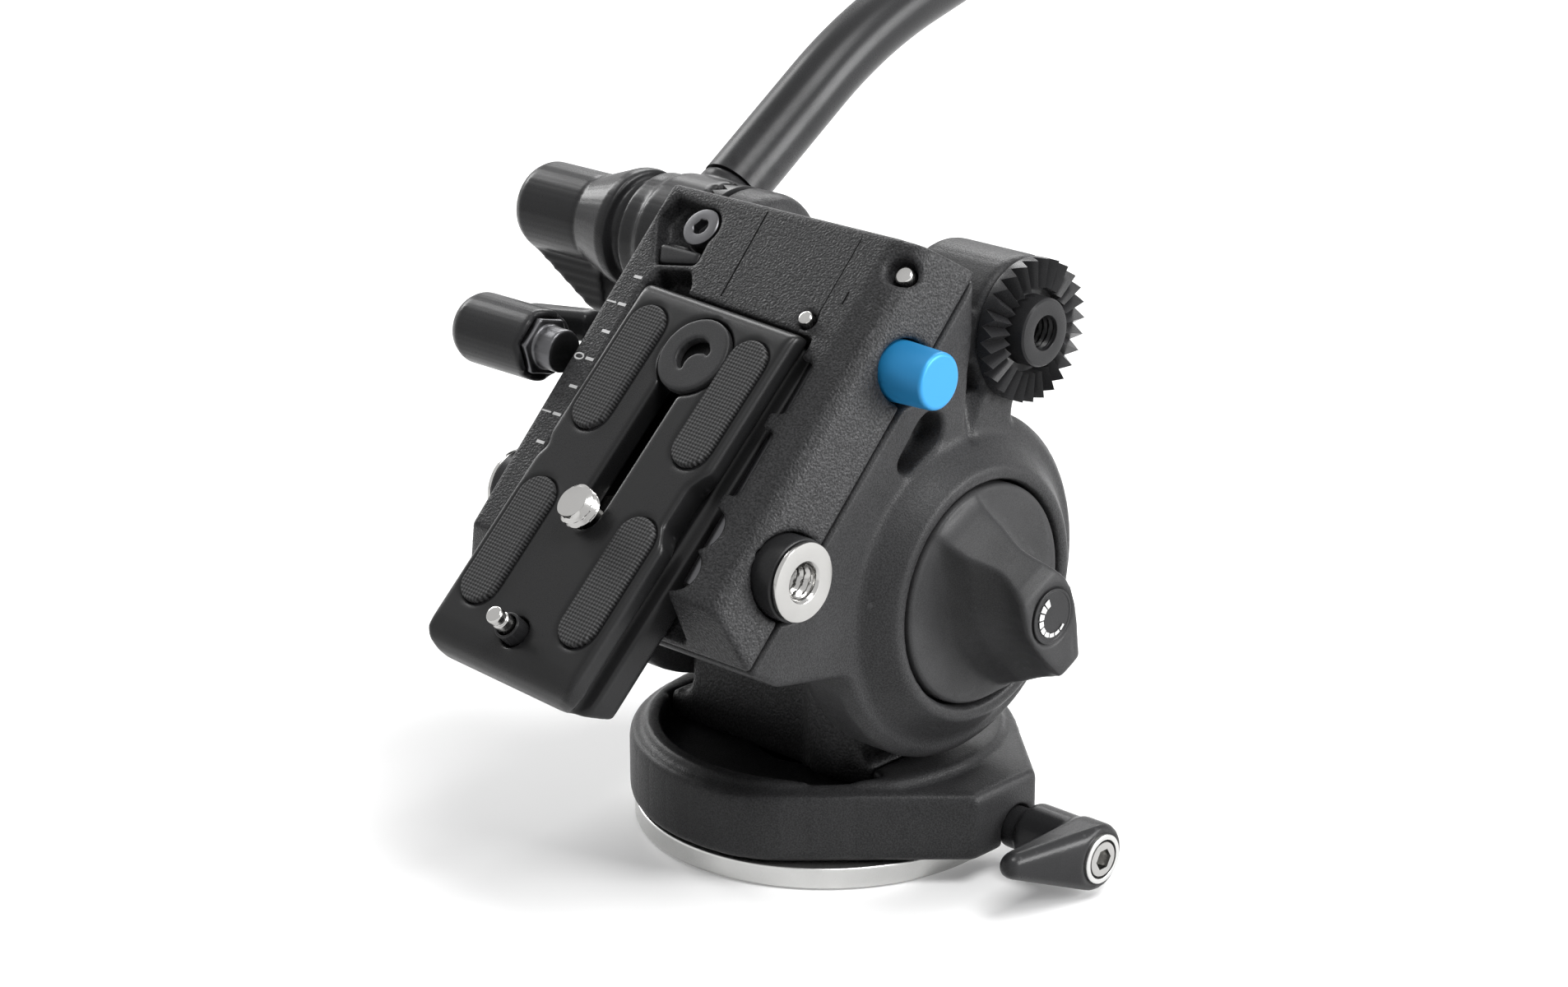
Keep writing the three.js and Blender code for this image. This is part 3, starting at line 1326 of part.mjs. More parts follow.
// The tube's centre line in its own upright plane, from the hub out to the grip.
function barLine() {
  const line = new THREE.CurvePath();
  const at = (y, z) => new THREE.Vector3(barTubeX, y, z);
  const bendStart = at(barTubeStraight * Math.cos(riseStart), barTubeStraight * Math.sin(riseStart));
  const centreY = bendStart.y + barTubeBendRadius * Math.sin(riseStart);
  const centreZ = bendStart.z - barTubeBendRadius * Math.cos(riseStart);
  const bendEnd = at(centreY - barTubeBendRadius * Math.sin(riseEnd),
    centreZ + barTubeBendRadius * Math.cos(riseEnd));
  const corner = bendStart.clone().add(at(0, 0).setX(0).set(0, Math.cos(riseStart), Math.sin(riseStart))
    .multiplyScalar(barTubeBendRadius * Math.tan((riseStart - riseEnd) / 2)));
  const end = bendEnd.clone().add(new THREE.Vector3(0, Math.cos(riseEnd), Math.sin(riseEnd))
    .multiplyScalar(barTubeRear - bendEnd.y));
  line.add(new THREE.LineCurve3(
    at(barTubeStart * Math.cos(riseStart), barTubeStart * Math.sin(riseStart)), bendStart));
  line.add(new THREE.QuadraticBezierCurve3(bendStart, corner, bendEnd));
  line.add(new THREE.LineCurve3(bendEnd, end));
  return { line, bendStart, corner, bendEnd, end };
}

// Rings of a tube along the centre line, square to it, between two wall radii.
function barSweep(radius, extraEnd = 0) {
  const { bendStart, corner, bendEnd, end } = barLine();
  const bend = new THREE.QuadraticBezierCurve3(bendStart, corner, bendEnd);
  const start = new THREE.Vector3(barTubeX, barTubeStart * Math.cos(riseStart),
    barTubeStart * Math.sin(riseStart));
  const places = [[start.addScaledVector(new THREE.Vector3(0, Math.cos(riseStart),
    Math.sin(riseStart)), -extraEnd), riseStart]];
  for (let i = 0; i <= barTubeSteps; i += 1) {
    const share = i / barTubeSteps;
    places.push([bend.getPoint(share), riseStart + (riseEnd - riseStart) * share]);
  }
  places.push([end.addScaledVector(new THREE.Vector3(0, Math.cos(riseEnd), Math.sin(riseEnd)),
    extraEnd), riseEnd]);
  return lofted(places.map(([middle, rise]) => Array.from({ length: smallSides }, (_, i) => {
    const angle = 2 * Math.PI * i / smallSides;
    const lift = radius * Math.sin(angle);
    return [middle.x + radius * Math.cos(angle), middle.y - lift * Math.sin(rise),
      middle.z + lift * Math.cos(rise)];
  })));
}

function barHub() {
  const teethX = mirrored(rosetteTipX) - clearance;
  const rootX = teethX - barTeethDepth;
  const body = solid(turnedX([
    [0, rootX], [earRadius, rootX], [earRadius, barHubOuterX + barHubEdge],
    [earRadius - barHubEdge, barHubOuterX], [barHubNeckRadius, barHubOuterX],
    [barHubNeckRadius, barHubNeckX], [0, barHubNeckX],
  ]));
  const teeth = toothRing(rootX - clearance, rootX, teethX).translate([0, -earL, -earN]);
  const face = solid(rodX(rosetteInnerRadius, rootX - overrun, teethX + overrun));
  const bore = solid(rodX(rosetteBoreRadius, barHubNeckX - overrun, teethX + overrun, smallSides));
  const collarEnd = barTubeStart - clearance;
  const collar = joined(
    solid(rodZ(barTubeRadius, earRadius / 2, collarEnd)),
    solid(rodZ(barTubeRadius - barTubeWall - clearance, earRadius / 2, collarEnd + barSpigotLength)),
  ).rotate([barTubeRiseDeg - 90, 0, 0]).translate([barTubeX, 0, 0])
    .subtract(solid(rodX(earRadius + clearance, rootX, 0, largeSides)));
  return without(joined(body, teeth, collar), face, bore);
}

function barTube() {
  const bore = solid(barSweep(barTubeRadius - barTubeWall, overrun));
  return solid(barSweep(barTubeRadius)).subtract(bore);
}

function barGrip() {
  const { end } = barLine();
  const radius = barTubeRadius + clearance;
  return solid(turnedZ([
    [radius, 0], [barGripRadius - barGripEdge, 0], [barGripRadius, barGripEdge],
    [barGripRadius, barGripLength - barGripEdge], [barGripRadius - barGripEdge, barGripLength],
    [0, barGripLength], [0, barGripLength - barGripEnd], [radius, barGripLength - barGripEnd],
  ], mediumSides))
    .translate([0, 0, barGripEnd + clearance - barGripLength])
    .rotate([THREE.MathUtils.radToDeg(riseEnd) - 90, 0, 0])
    .translate([end.x, end.y, end.z]);
}

piece('pan_bar_hub', barHub(), blackPaint, barGroup);
piece('pan_bar_tube', barTube(), blackPaint, barGroup);
piece('pan_bar_grip', barGrip(), foam, barGroup);

// Pan bar clamp knob and its bolt

function barClampKnob() {
  const body = solid(turnedX([
    [boltRadius + clearance, barCollarStartX], [barCollarRadius, barCollarStartX],
    [barCollarRadius, barKnobFlangeX], [barKnobFlangeRadius, barKnobFlangeX],
    [barKnobFlangeRadius, barKnobRimX], [barKnobRadius, barKnobNeckX],
    [barKnobRadius - barKnobGroove, barKnobNeckX], [barKnobRadius - barKnobGroove,
      barKnobNeckX - barKnobGrooveWidth],
    [barKnobRadius, barKnobNeckX - barKnobGrooveWidth], [barKnobRadius, barKnobEndX + barKnobEdge],
    [barKnobRadius - barKnobEdge / 3, barKnobEndX + barKnobEdge / 3],
    [barKnobRadius - barKnobEdge, barKnobEndX], [boltRadius + clearance, barKnobEndX],
  ]));
  const half = barFinThickness / 2;
  const side = solid(alongY(outline([
    [barFinOuterX, 0], [barFinOuterX, -barFinRootReach], [barFinShoulderX, -barFinReach],
    [barFinInnerX, -barFinReach], [barFinShoulderX, -barKnobRadius], [barFinShoulderX, 0],
  ]), -barFinThickness, barFinThickness));
  const pitch = (barFinReach - barFinRootReach) / barFinRibCount;
  const flank = Array.from({ length: 2 * barFinRibCount }, (_, i) => (
    [half - (i % 2) * barFinRibDepth, -barFinRootReach - pitch * i / 2]));
  const section = outline([[half, 0], ...flank, [half / 2, -barFinReach], [-half / 2, -barFinReach],
    ...flank.map(([y, z]) => [-y, z]).reverse(), [-half, 0]]);
  const ribbed = solid(alongX(section, barFinOuterX - overrun, barFinInnerX + overrun))
    .intersect(side).rotate([barFinDeg + 90, 0, 0]);
  const bore = solid(rodX(boltRadius + clearance, barKnobEndX + barKnobEdge, barCollarStartX + overrun,
    smallSides));
  const plug = solid(rodX(barKnobRadius - barKnobEdge, barKnobEndX, barKnobEndX + barKnobEdge));
  return joined(body, plug, ribbed).subtract(bore);
}

piece('bar_clamp_knob', barClampKnob(), blackPlastic, barGroup);
piece('bar_clamp_bolt', solid(rodX(boltRadius, barKnobEndX + barKnobEdge + clearance, barBoltInnerX,
  smallSides)), steel, barGroup);

export default head;
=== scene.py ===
"""Compact video head for a tripod: pan base, tilting platform, sliding camera plate and pan bar.

The sizes are millimetres in the same places as the solids of the frame. World directions are
+Z up, -Y to the front and +X to the side of the tilt lock knob. The tilting parts are built in
platform directions (x, l, n): l runs to the rear along the platform and n stands square to it.
"""

import logging
import math
from dataclasses import dataclass
from enum import Enum
from typing import Callable, Sequence

import bpy
import numpy as np
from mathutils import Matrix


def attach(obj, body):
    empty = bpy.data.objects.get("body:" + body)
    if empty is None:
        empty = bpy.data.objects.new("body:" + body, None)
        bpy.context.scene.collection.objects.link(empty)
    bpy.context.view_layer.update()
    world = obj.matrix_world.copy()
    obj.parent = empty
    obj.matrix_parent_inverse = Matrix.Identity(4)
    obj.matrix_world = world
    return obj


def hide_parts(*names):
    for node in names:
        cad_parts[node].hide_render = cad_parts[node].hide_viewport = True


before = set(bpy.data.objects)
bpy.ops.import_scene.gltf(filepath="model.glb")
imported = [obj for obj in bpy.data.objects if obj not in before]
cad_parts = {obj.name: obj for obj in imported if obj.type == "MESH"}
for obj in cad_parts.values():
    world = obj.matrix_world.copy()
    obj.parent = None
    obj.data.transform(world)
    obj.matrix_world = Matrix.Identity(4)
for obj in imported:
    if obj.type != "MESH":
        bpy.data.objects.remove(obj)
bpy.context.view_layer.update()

import openvdb as vdb
from mathutils import Matrix

Array = np.ndarray
Piece = bpy.types.Object
Socket = bpy.types.NodeSocket
LOG = logging.getLogger("video_head")

MM = 0.001
TILT_REST_DEG = 45.6
TILT_AXIS_HEIGHT = 45.5
TILT_CENTRE_X = -1.2
EAR_L = 36.4
EAR_N = 17.6
PLATE_X = -1.6
PLATE_L = -16.5
PLATE_YAW_DEG = -3.0
LEFT_INSERT_FACE_X = -30.0
RIGHT_INSERT_FACE_X = 30.9
SEAT_GAP = 0.3
CREASE_DEG = 30.0
SOFT_CREASE_DEG = 40.0
SHAPED_CREASE_DEG = 28.0
CORNER_SHARE = 0.48
HEX_BAND = 0.1


class Axis(Enum):
    """The direction that a piece is turned about, or that a face looks along.

    Its value says where x, l and n stand among the two distances across it and the one along it.
    """

    X = (2, 0, 1)
    Z = (0, 1, 2)


def unchanged(x: float) -> float:
    """The same distance, on the right side."""
    return x


def mirrored(x: float) -> float:
    """The same distance on the other side of the tilt unit's middle plane."""
    return 2 * TILT_CENTRE_X - x


def on_left_insert(x: float) -> float:
    """The right insert's distance, told from the face of the left one."""
    return LEFT_INSERT_FACE_X + RIGHT_INSERT_FACE_X - x


def rising(angle: float) -> Array:
    """The direction to the rear that rises by an angle in radians."""
    return np.array([0.0, math.cos(angle), math.sin(angle)])


def turn_about_x(degrees: float) -> Array:
    """The matrix that turns y towards z by that angle."""
    c, s = math.cos(math.radians(degrees)), math.sin(math.radians(degrees))
    return np.array([[1, 0, 0], [0, c, -s], [0, s, c]])


def turn_about_z(degrees: float) -> Array:
    """The matrix that turns x towards y by that angle."""
    c, s = math.cos(math.radians(degrees)), math.sin(math.radians(degrees))
    return np.array([[c, -s, 0], [s, c, 0], [0, 0, 1]])


@dataclass(frozen=True)
class Place:
    """A set of directions that pieces are built in, as a turn and an origin in millimetres."""

    turn: Array
    origin: Array

    def world(self, points: Array) -> Array:
        """World metres of local millimetres: the point is turned, then moved by the origin."""
        return (points @ self.turn.T + self.origin) * MM

    def local(self, points: Array) -> Array:
        """Local millimetres of world metres, the other way round."""
        return (points / MM - self.origin) @ self.turn

    def inside(self, turn: Array, origin: Sequence[float]) -> "Place":
        """A place given within this one.

        Args:
            turn: The inner turn, seen from this place.
            origin: The inner origin, in this place's millimetres.

        Returns:
            The combined place.
        """
        return Place(self.turn @ turn, self.turn @ np.array(origin, float) + self.origin)


WORLD = Place(np.eye(3), np.zeros(3))
TILTING = Place(turn_about_x(TILT_REST_DEG), np.array([0.0, 0.0, TILT_AXIS_HEIGHT]))
PLATE = TILTING.inside(turn_about_z(PLATE_YAW_DEG), (PLATE_X, PLATE_L, 0.0))
BAR = TILTING.inside(turn_about_x(-TILT_REST_DEG), (0.0, EAR_L, EAR_N))


# Meshes


def mesh_object(name: str, points: Array, faces: Array,
                normals: Array | None = None) -> Piece:
    """Makes a smooth mesh object whose faces point outwards.

    The volume under the faces tells which way they turn: it is the sum over the faces of the
    triple product of their corners, and where it is negative every face is turned round.

    Args:
        name: The object's name.
        points: World places in metres, one row each.
        faces: Rows of four corners; a row whose last two are equal is a triangle.
        normals: A unit direction for each point, or None to take the mesh's own.

    Returns:
        The object, linked to the scene, with its place in its mesh.
    """
    a, b, c, d = (points[faces[:, i]] for i in range(4))
    volume = np.einsum("ij,ij->", a, np.cross(b, c)) + np.einsum("ij,ij->", a, np.cross(c, d))
    if volume < 0:
        faces = faces[:, [1, 0, 3, 2]]
    three = (faces[:, 2] == faces[:, 3]) | (faces[:, 0] == faces[:, 1])
    corners = np.where(faces[:, [0]] == faces[:, [1]], faces[:, [1, 2, 3, 3]], faces)
    totals = np.where(three, 3, 4)
    keep = np.arange(4)[None, :] < totals[:, None]
    mesh = bpy.data.meshes.new(name)
    mesh.vertices.add(len(points))
    mesh.vertices.foreach_set("co", points.astype(np.float32).ravel())
    mesh.loops.add(int(totals.sum()))
    mesh.loops.foreach_set("vertex_index", corners[keep].astype(np.int32))
    mesh.polygons.add(len(totals))
    mesh.polygons.foreach_set("loop_start", (np.cumsum(totals) - totals).astype(np.int32))
    mesh.update(calc_edges=True)
    mesh.validate()
    mesh.shade_smooth()
    if normals is not None:
        own = np.empty(len(points) * 3, np.float32)
        mesh.vertices.foreach_get("normal", own)
        if np.einsum("ij,ij->", own.reshape(-1, 3), normals) < 0:
            normals = -normals
        mesh.normals_split_custom_set_from_vertices(normals.astype(np.float32))
    piece = bpy.data.objects.new(name, mesh)
    bpy.context.scene.collection.objects.link(piece)
    return piece


def creased(piece: Piece, degrees: float) -> Piece:
    """The same piece, with its edges sharp where they turn by more than that."""
    piece.data.set_sharp_from_angle(angle=math.radians(degrees))
    return piece


def ring_faces(index: Array) -> Array:
    """The faces between rings of point numbers, each ring closed on itself."""
    beside = np.roll(index, -1, axis=-1)
    return np.stack([index[..., :-1, :], beside[..., :-1, :], beside[..., 1:, :],
                     index[..., 1:, :]], axis=-1).reshape(-1, 4)


def softened(corners: Sequence[Sequence[float]], closed: bool,
             steps: int = 4) -> tuple[Array, Array]:
    """Points and directions along a profile whose corners are small curves.

    Each corner is swapped for a curve from one edge length before it to one edge length after
    it: (1-s)^2 a + 2 s (1-s) corner + s^2 b, whose direction is (1-s)(corner-a) + s(b-corner).

    Args:
        corners: Rows of radius, distance along the axis and edge length.
        closed: Whether the profile runs back to its first corner.
        steps: How many points each curve has.

    Returns:
        The points and their unit directions, as two arrays of rows.
    """
    table = np.array(corners, float)
    middle, edge = table[:, :2], table[:, 2].copy()
    before, after = np.roll(middle, 1, axis=0), np.roll(middle, -1, axis=0)
    if not closed:
        before[0] = 2 * middle[0] - middle[1]
        after[-1] = 2 * middle[-1] - middle[-2]
        edge[[0, -1]] = 0
    back, on = before - middle, after - middle
    back_length = np.linalg.norm(back, axis=1, keepdims=True)
    on_length = np.linalg.norm(on, axis=1, keepdims=True)
    reach = np.minimum(edge[:, None], CORNER_SHARE * np.minimum(back_length, on_length))
    a, b = middle + back / back_length * reach, middle + on / on_length * reach
    s = np.linspace(0, 1, steps)[None, :, None]
    a, b, corner = a[:, None], b[:, None], middle[:, None]
    points = (1 - s) ** 2 * a + 2 * s * (1 - s) * corner + s ** 2 * b
    ways = (1 - s) * (corner - a) + s * (b - corner)
    plain = reach[:, 0] <= 0
    ways[plain] = (on / on_length - back / back_length)[plain][:, None]
    keep = np.ones((len(middle), steps), bool)
    keep[plain, 1:] = False
    points, ways = points[keep], ways[keep]
    return points, ways / np.linalg.norm(ways, axis=1, keepdims=True)


def carried(name: str, radii: Array, centres: Array, across: Array,
            up: Array, closed: bool, normals: Array | None = None) -> Piece:
    """A surface of rings: each ring is a centre plus a radius turned through the whole circle.

    The point is centre + radius (cos(angle) across + sin(angle) up). A ring of no size is one
    point, so poles are closed.

    Args:
        name: The object's name.
        radii: A row for each ring and a column for each angle.
        centres: World metres of the rings' centres, for each ring and angle or for each ring.
        across: The direction at angle zero, for each ring.
        up: The direction at a quarter turn, for each ring.
        closed: Whether the last ring joins the first.
        normals: A direction for each point, or None.

    Returns:
        The object.
    """
    rings, sides = radii.shape
    angle = 2 * np.pi * np.arange(sides) / sides
    spokes = (np.cos(angle)[None, :, None] * across[:, None, :]
              + np.sin(angle)[None, :, None] * up[:, None, :])
    points = centres.reshape(rings, -1, 3) + radii[:, :, None] * spokes
    index = np.arange(rings * sides).reshape(rings, sides)
    pole = radii.max(axis=1) <= 0
    index[pole] = index[pole][:, :1]
    faces = ring_faces(np.concatenate([index, index[:1]]) if closed else index)
    used, faces = np.unique(faces, return_inverse=True)
    faces = faces.reshape(-1, 4)
    flat = points.reshape(-1, 3)[used]
    shade = None if normals is None else normals.reshape(-1, 3)[used]
    return mesh_object(name, flat, faces, shade)


Shaping = Callable[[Array, Array, Array], tuple[Array, Array]]


def turned(name: str, corners: Sequence[Sequence[float]], place: Place, axis: Axis,
           centre: tuple[float, float] = (0.0, 0.0), sides: int = 96,
           shaping: Shaping | None = None) -> Piece:
    """A turned piece: a profile of radius and distance carried round an axis.

    Args:
        name: The object's name.
        corners: Rows of radius, distance along the axis and edge length, outside in order. A
            profile that starts and ends on the axis is open, and any other closes on itself.
        place: The directions the piece is built in.
        axis: The direction it is turned about.
        centre: Where the axis passes, in the two other directions.
        sides: How many points each ring has.
        shaping: Changes the grids of radius and distance by angle, for teeth, threads or flats.

    Returns:
        The object.
    """
    closed = not (corners[0][0] == 0 and corners[-1][0] == 0)
    profile, ways = softened(corners, closed)
    angle = 2 * np.pi * np.arange(sides) / sides
    radius = np.repeat(profile[:, :1], sides, axis=1)
    along = np.repeat(profile[:, 1:], sides, axis=1)
    if shaping is not None:
        radius, along = shaping(radius, along, np.repeat(angle[None, :], len(profile), axis=0))
    centres = np.stack([np.full_like(along, centre[0]), np.full_like(along, centre[1]), along],
                       axis=-1)[:, :, axis.value]
    base = np.eye(3)[:, axis.value]
    across, up, forward = (place.turn @ base[i] for i in range(3))
    shade = None
    if shaping is None:
        spoke = np.cos(angle)[:, None] * across + np.sin(angle)[:, None] * up
        shade = ways[:, None, 1:] * spoke[None] - ways[:, None, :1] * forward
    rows = len(profile)
    piece = carried(name, radius * MM, place.world(centres), np.repeat(across[None], rows, axis=0),
                    np.repeat(up[None], rows, axis=0), closed, shade)
    return piece if shaping is None else creased(piece, SHAPED_CREASE_DEG)


def node_solid(node: str) -> tuple[Array, Array]:
    """A merged copy of a node's mesh: its points in metres and its triangles.

    Args:
        node: The node's name.

    Returns:
        Points in metres, equal ones made one, and rows of three corners.
    """
    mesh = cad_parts[node].data
    co = np.empty(len(mesh.vertices) * 3, np.float32)
    mesh.vertices.foreach_get("co", co)
    mesh.calc_loop_triangles()
    corners = np.empty(len(mesh.loop_triangles) * 3, np.int32)
    mesh.loop_triangles.foreach_get("vertices", corners)
    rows = co.reshape(-1, 3)
    _, first, back = np.unique(np.round(rows / MM, 4), axis=0, return_index=True,
                               return_inverse=True)
    return rows[first].astype(float), back.reshape(-1)[corners].reshape(-1, 3)


@dataclass(frozen=True)
class Facets:
    """Flat sides that stand for a round surface, to be made round again.

    A flat side lies inside its circle, at cos(half a side) / cos(angle from its middle) of the
    radius, so a point there is moved out by the inverse of that. Where a second set of sides
    cuts the first, the lower of the two counts. Faces that lean sideways by more than a share of
    a side's own turn belong to something else and stay; the change fades in below that.
    """

    axis: Axis
    sides: float
    start_deg: float = 0.0
    radius: tuple[float, float] = (0.0, 1000.0)
    centre: tuple[float, float] = (0.0, 0.0)
    second: tuple[float, float] | None = None
    lean: float = 1.6
    fade: float = 0.4

    def _shortfall(self, angle: Array, sides: float, start_deg: float) -> Array:
        """How many times further out the circle is than a set of sides at those angles.

        Args:
            angle: Radians round the axis.
            sides: Sides in a full turn.
            start_deg: Where the first side starts.

        Returns:
            A share for each angle, one or more.
        """
        step = 2 * np.pi / sides
        past = np.mod(angle - math.radians(start_deg), 2 * np.pi)
        return np.cos(np.mod(past, step) - step / 2) / math.cos(step / 2)

    def rounded(self, points: Array, normals: Array) -> Array:
        """Moves the points of the facets out onto their circle.

        Args:
            points: Local millimetres.
            normals: The surface's direction at each point.

        Returns:
            The moved points.
        """
        order = [self.axis.value.index(0), self.axis.value.index(1)]
        flat = points[:, order] - np.array(self.centre)
        reach = np.linalg.norm(flat, axis=1)
        angle = np.arctan2(flat[:, 1], flat[:, 0])
        step = 2 * np.pi / self.sides
        out = self._shortfall(angle, self.sides, self.start_deg)
        if self.second is not None:
            out = np.maximum(out, self._shortfall(angle, *self.second))
        around = np.stack([-flat[:, 1], flat[:, 0]], axis=1) / np.maximum(reach, 1e-6)[:, None]
        sideways = np.abs(np.einsum("ij,ij->i", around, normals[:, order]))
        limit = self.lean * math.sin(step / 2)
        share = np.clip((limit - sideways) / (self.fade * limit), 0, 1)
        share *= (reach > self.radius[0]) & (reach < self.radius[1])
        moved = points.copy()
        moved[:, order] += flat * ((out - 1) * share)[:, None]
        return moved


def blurred(field_values: Array, spread: float) -> Array:
    """The field averaged along each of its three directions with bell-shaped weights.

    Args:
        field_values: A number for each cell.
        spread: Width of the bell in cells, or 0 to leave the field.

    Returns:
        The averaged field.
    """
    if spread <= 0:
        return field_values
    side = 3
    taps = np.arange(-side, side + 1)
    weights = np.exp(-0.5 * (taps / spread) ** 2)
    weights /= weights.sum()
    for axis in range(3):
        total = np.zeros_like(field_values)
        padded = np.pad(field_values, [(side, side) if i == axis else (0, 0) for i in range(3)],
                        mode="edge")
        size = field_values.shape[axis]
        for tap, weight in zip(taps, weights):
            start = side + tap
            window = [slice(None)] * 3
            window[axis] = slice(start, start + size)
            total += (weight * padded[tuple(window)]).astype(np.float32)
        field_values = total
    return field_values


@dataclass(frozen=True)
class Skin:
    """The rounded surface of a cast or moulded solid.

    The solid becomes a field of distances. Its surface is moved out by the fillet and back, which
    fills the inner corners, then in by the edge and out again, which rounds the outer ones.
    """

    cell: float = 0.4
    fillet: float = 0.8
    edge: float = 0.45
    spread: float = 0.7
    facets: tuple[Facets, ...] = ()
    most_triangles: int = 190_000

    def _field(self, points: Array, faces: Array, reach: float) -> vdb.FloatGrid:
        """The distance field of closed faces, true as far as that reach from them."""
        kind = "triangles" if faces.shape[1] == 3 else "quads"
        return vdb.FloatGrid.createLevelSetFromPolygons(
            points.astype(np.float32), **{kind: faces.astype(np.uint32)},
            transform=vdb.createLinearTransform(voxelSize=self.cell),
            halfWidth=reach / self.cell + 3.0)

    def _softened(self, values: Array, first: Array, outside: float) -> vdb.FloatGrid:
        """A field of those distances, averaged, whose first cell stands there.

        Args:
            values: The distances.
            first: The first cell's numbers.
            outside: The distance beyond them.

        Returns:
            The field.
        """
        smooth = vdb.FloatGrid(outside)
        smooth.copyFromArray(blurred(values, self.spread), ijk=tuple(int(v) for v in first))
        smooth.transform = vdb.createLinearTransform(voxelSize=self.cell)
        smooth.gridClass = vdb.GridClass.LEVEL_SET
        return smooth

    def shape(self, points: Array, triangles: Array) -> tuple[Array, Array]:
        """The rounded surface of one solid.

        Args:
            points: Local millimetres of a closed solid.
            triangles: Its faces.

        Returns:
            Points in local millimetres and faces of four corners.
        """
        both = self.fillet + self.edge
        points, quads = self._field(points, triangles, self.fillet).convertToQuads(
            isovalue=self.fillet)
        points, quads = self._field(points, quads, both).convertToQuads(isovalue=-both)
        grid = self._field(points, quads, self.edge)
        low, high = (np.array(corner) for corner in grid.evalActiveVoxelBoundingBox())
        values = np.full(high - low + 1, grid.background, np.float32)
        grid.copyToArray(values, ijk=tuple(int(v) for v in low))
        return self._softened(values, low, grid.background).convertToQuads(isovalue=self.edge)

    def around(self, name: str, low: Sequence[float], high: Sequence[float], place: Place,
               distance: Callable[[Array, Array, Array], Array],
               ) -> Piece:
        """The surface where a distance worked out on a grid of cells is nothing.

        Args:
            name: The new object's name.
            low: Lowest corner of the grid in local millimetres.
            high: Highest corner.
            place: The directions of the grid.
            distance: Gives the distances outside the form, minus inside, for three grids of
                local millimetres.

        Returns:
            The object.
        """
        first = np.floor(np.array(low) / self.cell).astype(int)
        last = np.ceil(np.array(high) / self.cell).astype(int)
        cells = np.meshgrid(*(np.arange(a, b + 1) for a, b in zip(first, last)), indexing="ij")
        reach = 3 * self.cell
        values = distance(*(axis * self.cell for axis in cells)).clip(-reach, reach)
        skin, quads = self._softened(values.astype(np.float32), first, reach).convertToQuads(
            isovalue=0.0)
        return mesh_object(name, place.world(skin.astype(float)), quads.astype(np.int64))

    def over(self, node: str, how: str, place: Place) -> Piece:
        """The skin over a node of the frame.

        Args:
            node: The node it is worked out from.
            how: How such a piece is made, which its name adds to the node's.
            place: The directions in which the node is straight.

        Returns:
            The object.
        """
        points, triangles = node_solid(node)
        skin, quads = self.shape(place.local(points), triangles)
        skin, quads = skin.astype(float), quads.astype(np.int64)
        for facet in self.facets:
            skin = facet.rounded(skin, point_directions(skin, quads))
        return thinned(mesh_object(f"{node}_{how}", place.world(skin), quads),
                       self.most_triangles)


def finished_mesh(maker: Piece) -> bpy.types.Mesh:
    """A new mesh of an object as its modifiers, or its letters, leave it."""
    bpy.context.view_layer.update()
    return bpy.data.meshes.new_from_object(maker.evaluated_get(
        bpy.context.evaluated_depsgraph_get()))


def thinned(piece: Piece, most: int) -> Piece:
    """Takes triangles out of a piece where it is flattest, down to that number.

    Args:
        piece: The piece, whose mesh is changed.
        most: The triangles it may have.

    Returns:
        The same piece.
    """
    triangles = 2 * len(piece.data.polygons)
    if triangles <= most:
        return piece
    collapse = piece.modifiers.new("thinned", "DECIMATE")
    collapse.ratio = most / triangles
    full, mesh = piece.data, finished_mesh(piece)
    piece.modifiers.clear()
    piece.data = mesh
    bpy.data.meshes.remove(full)
    mesh.name = piece.name
    mesh.shade_smooth()
    return piece


def rounded_max(a: Array, b: Array, edge: float) -> Array:
    """The larger of two distances, with the corner between them rounded over that length."""
    return (a + b + np.sqrt((a - b) ** 2 + edge ** 2)) / 2


def rounded_min(a: Array, b: Array, fillet: float) -> Array:
    """The smaller of two distances, with the inner corner between them filled."""
    return -rounded_max(-a, -b, fillet)


def point_directions(points: Array, quads: Array) -> Array:
    """The unit direction at each point: the sum of its faces' crossed diagonals, made one long.

    Args:
        points: Rows of three.
        quads: Rows of four corners.

    Returns:
        A unit row for each point.
    """
    a, b, c, d = (points[quads[:, i]] for i in range(4))
    face = np.cross(c - a, d - b)
    total = np.stack([
        np.bincount(quads.ravel(), np.repeat(face[:, axis], 4), minlength=len(points))
        for axis in range(3)], axis=1)
    return total / np.maximum(np.linalg.norm(total, axis=1, keepdims=True), 1e-12)


# Finishes


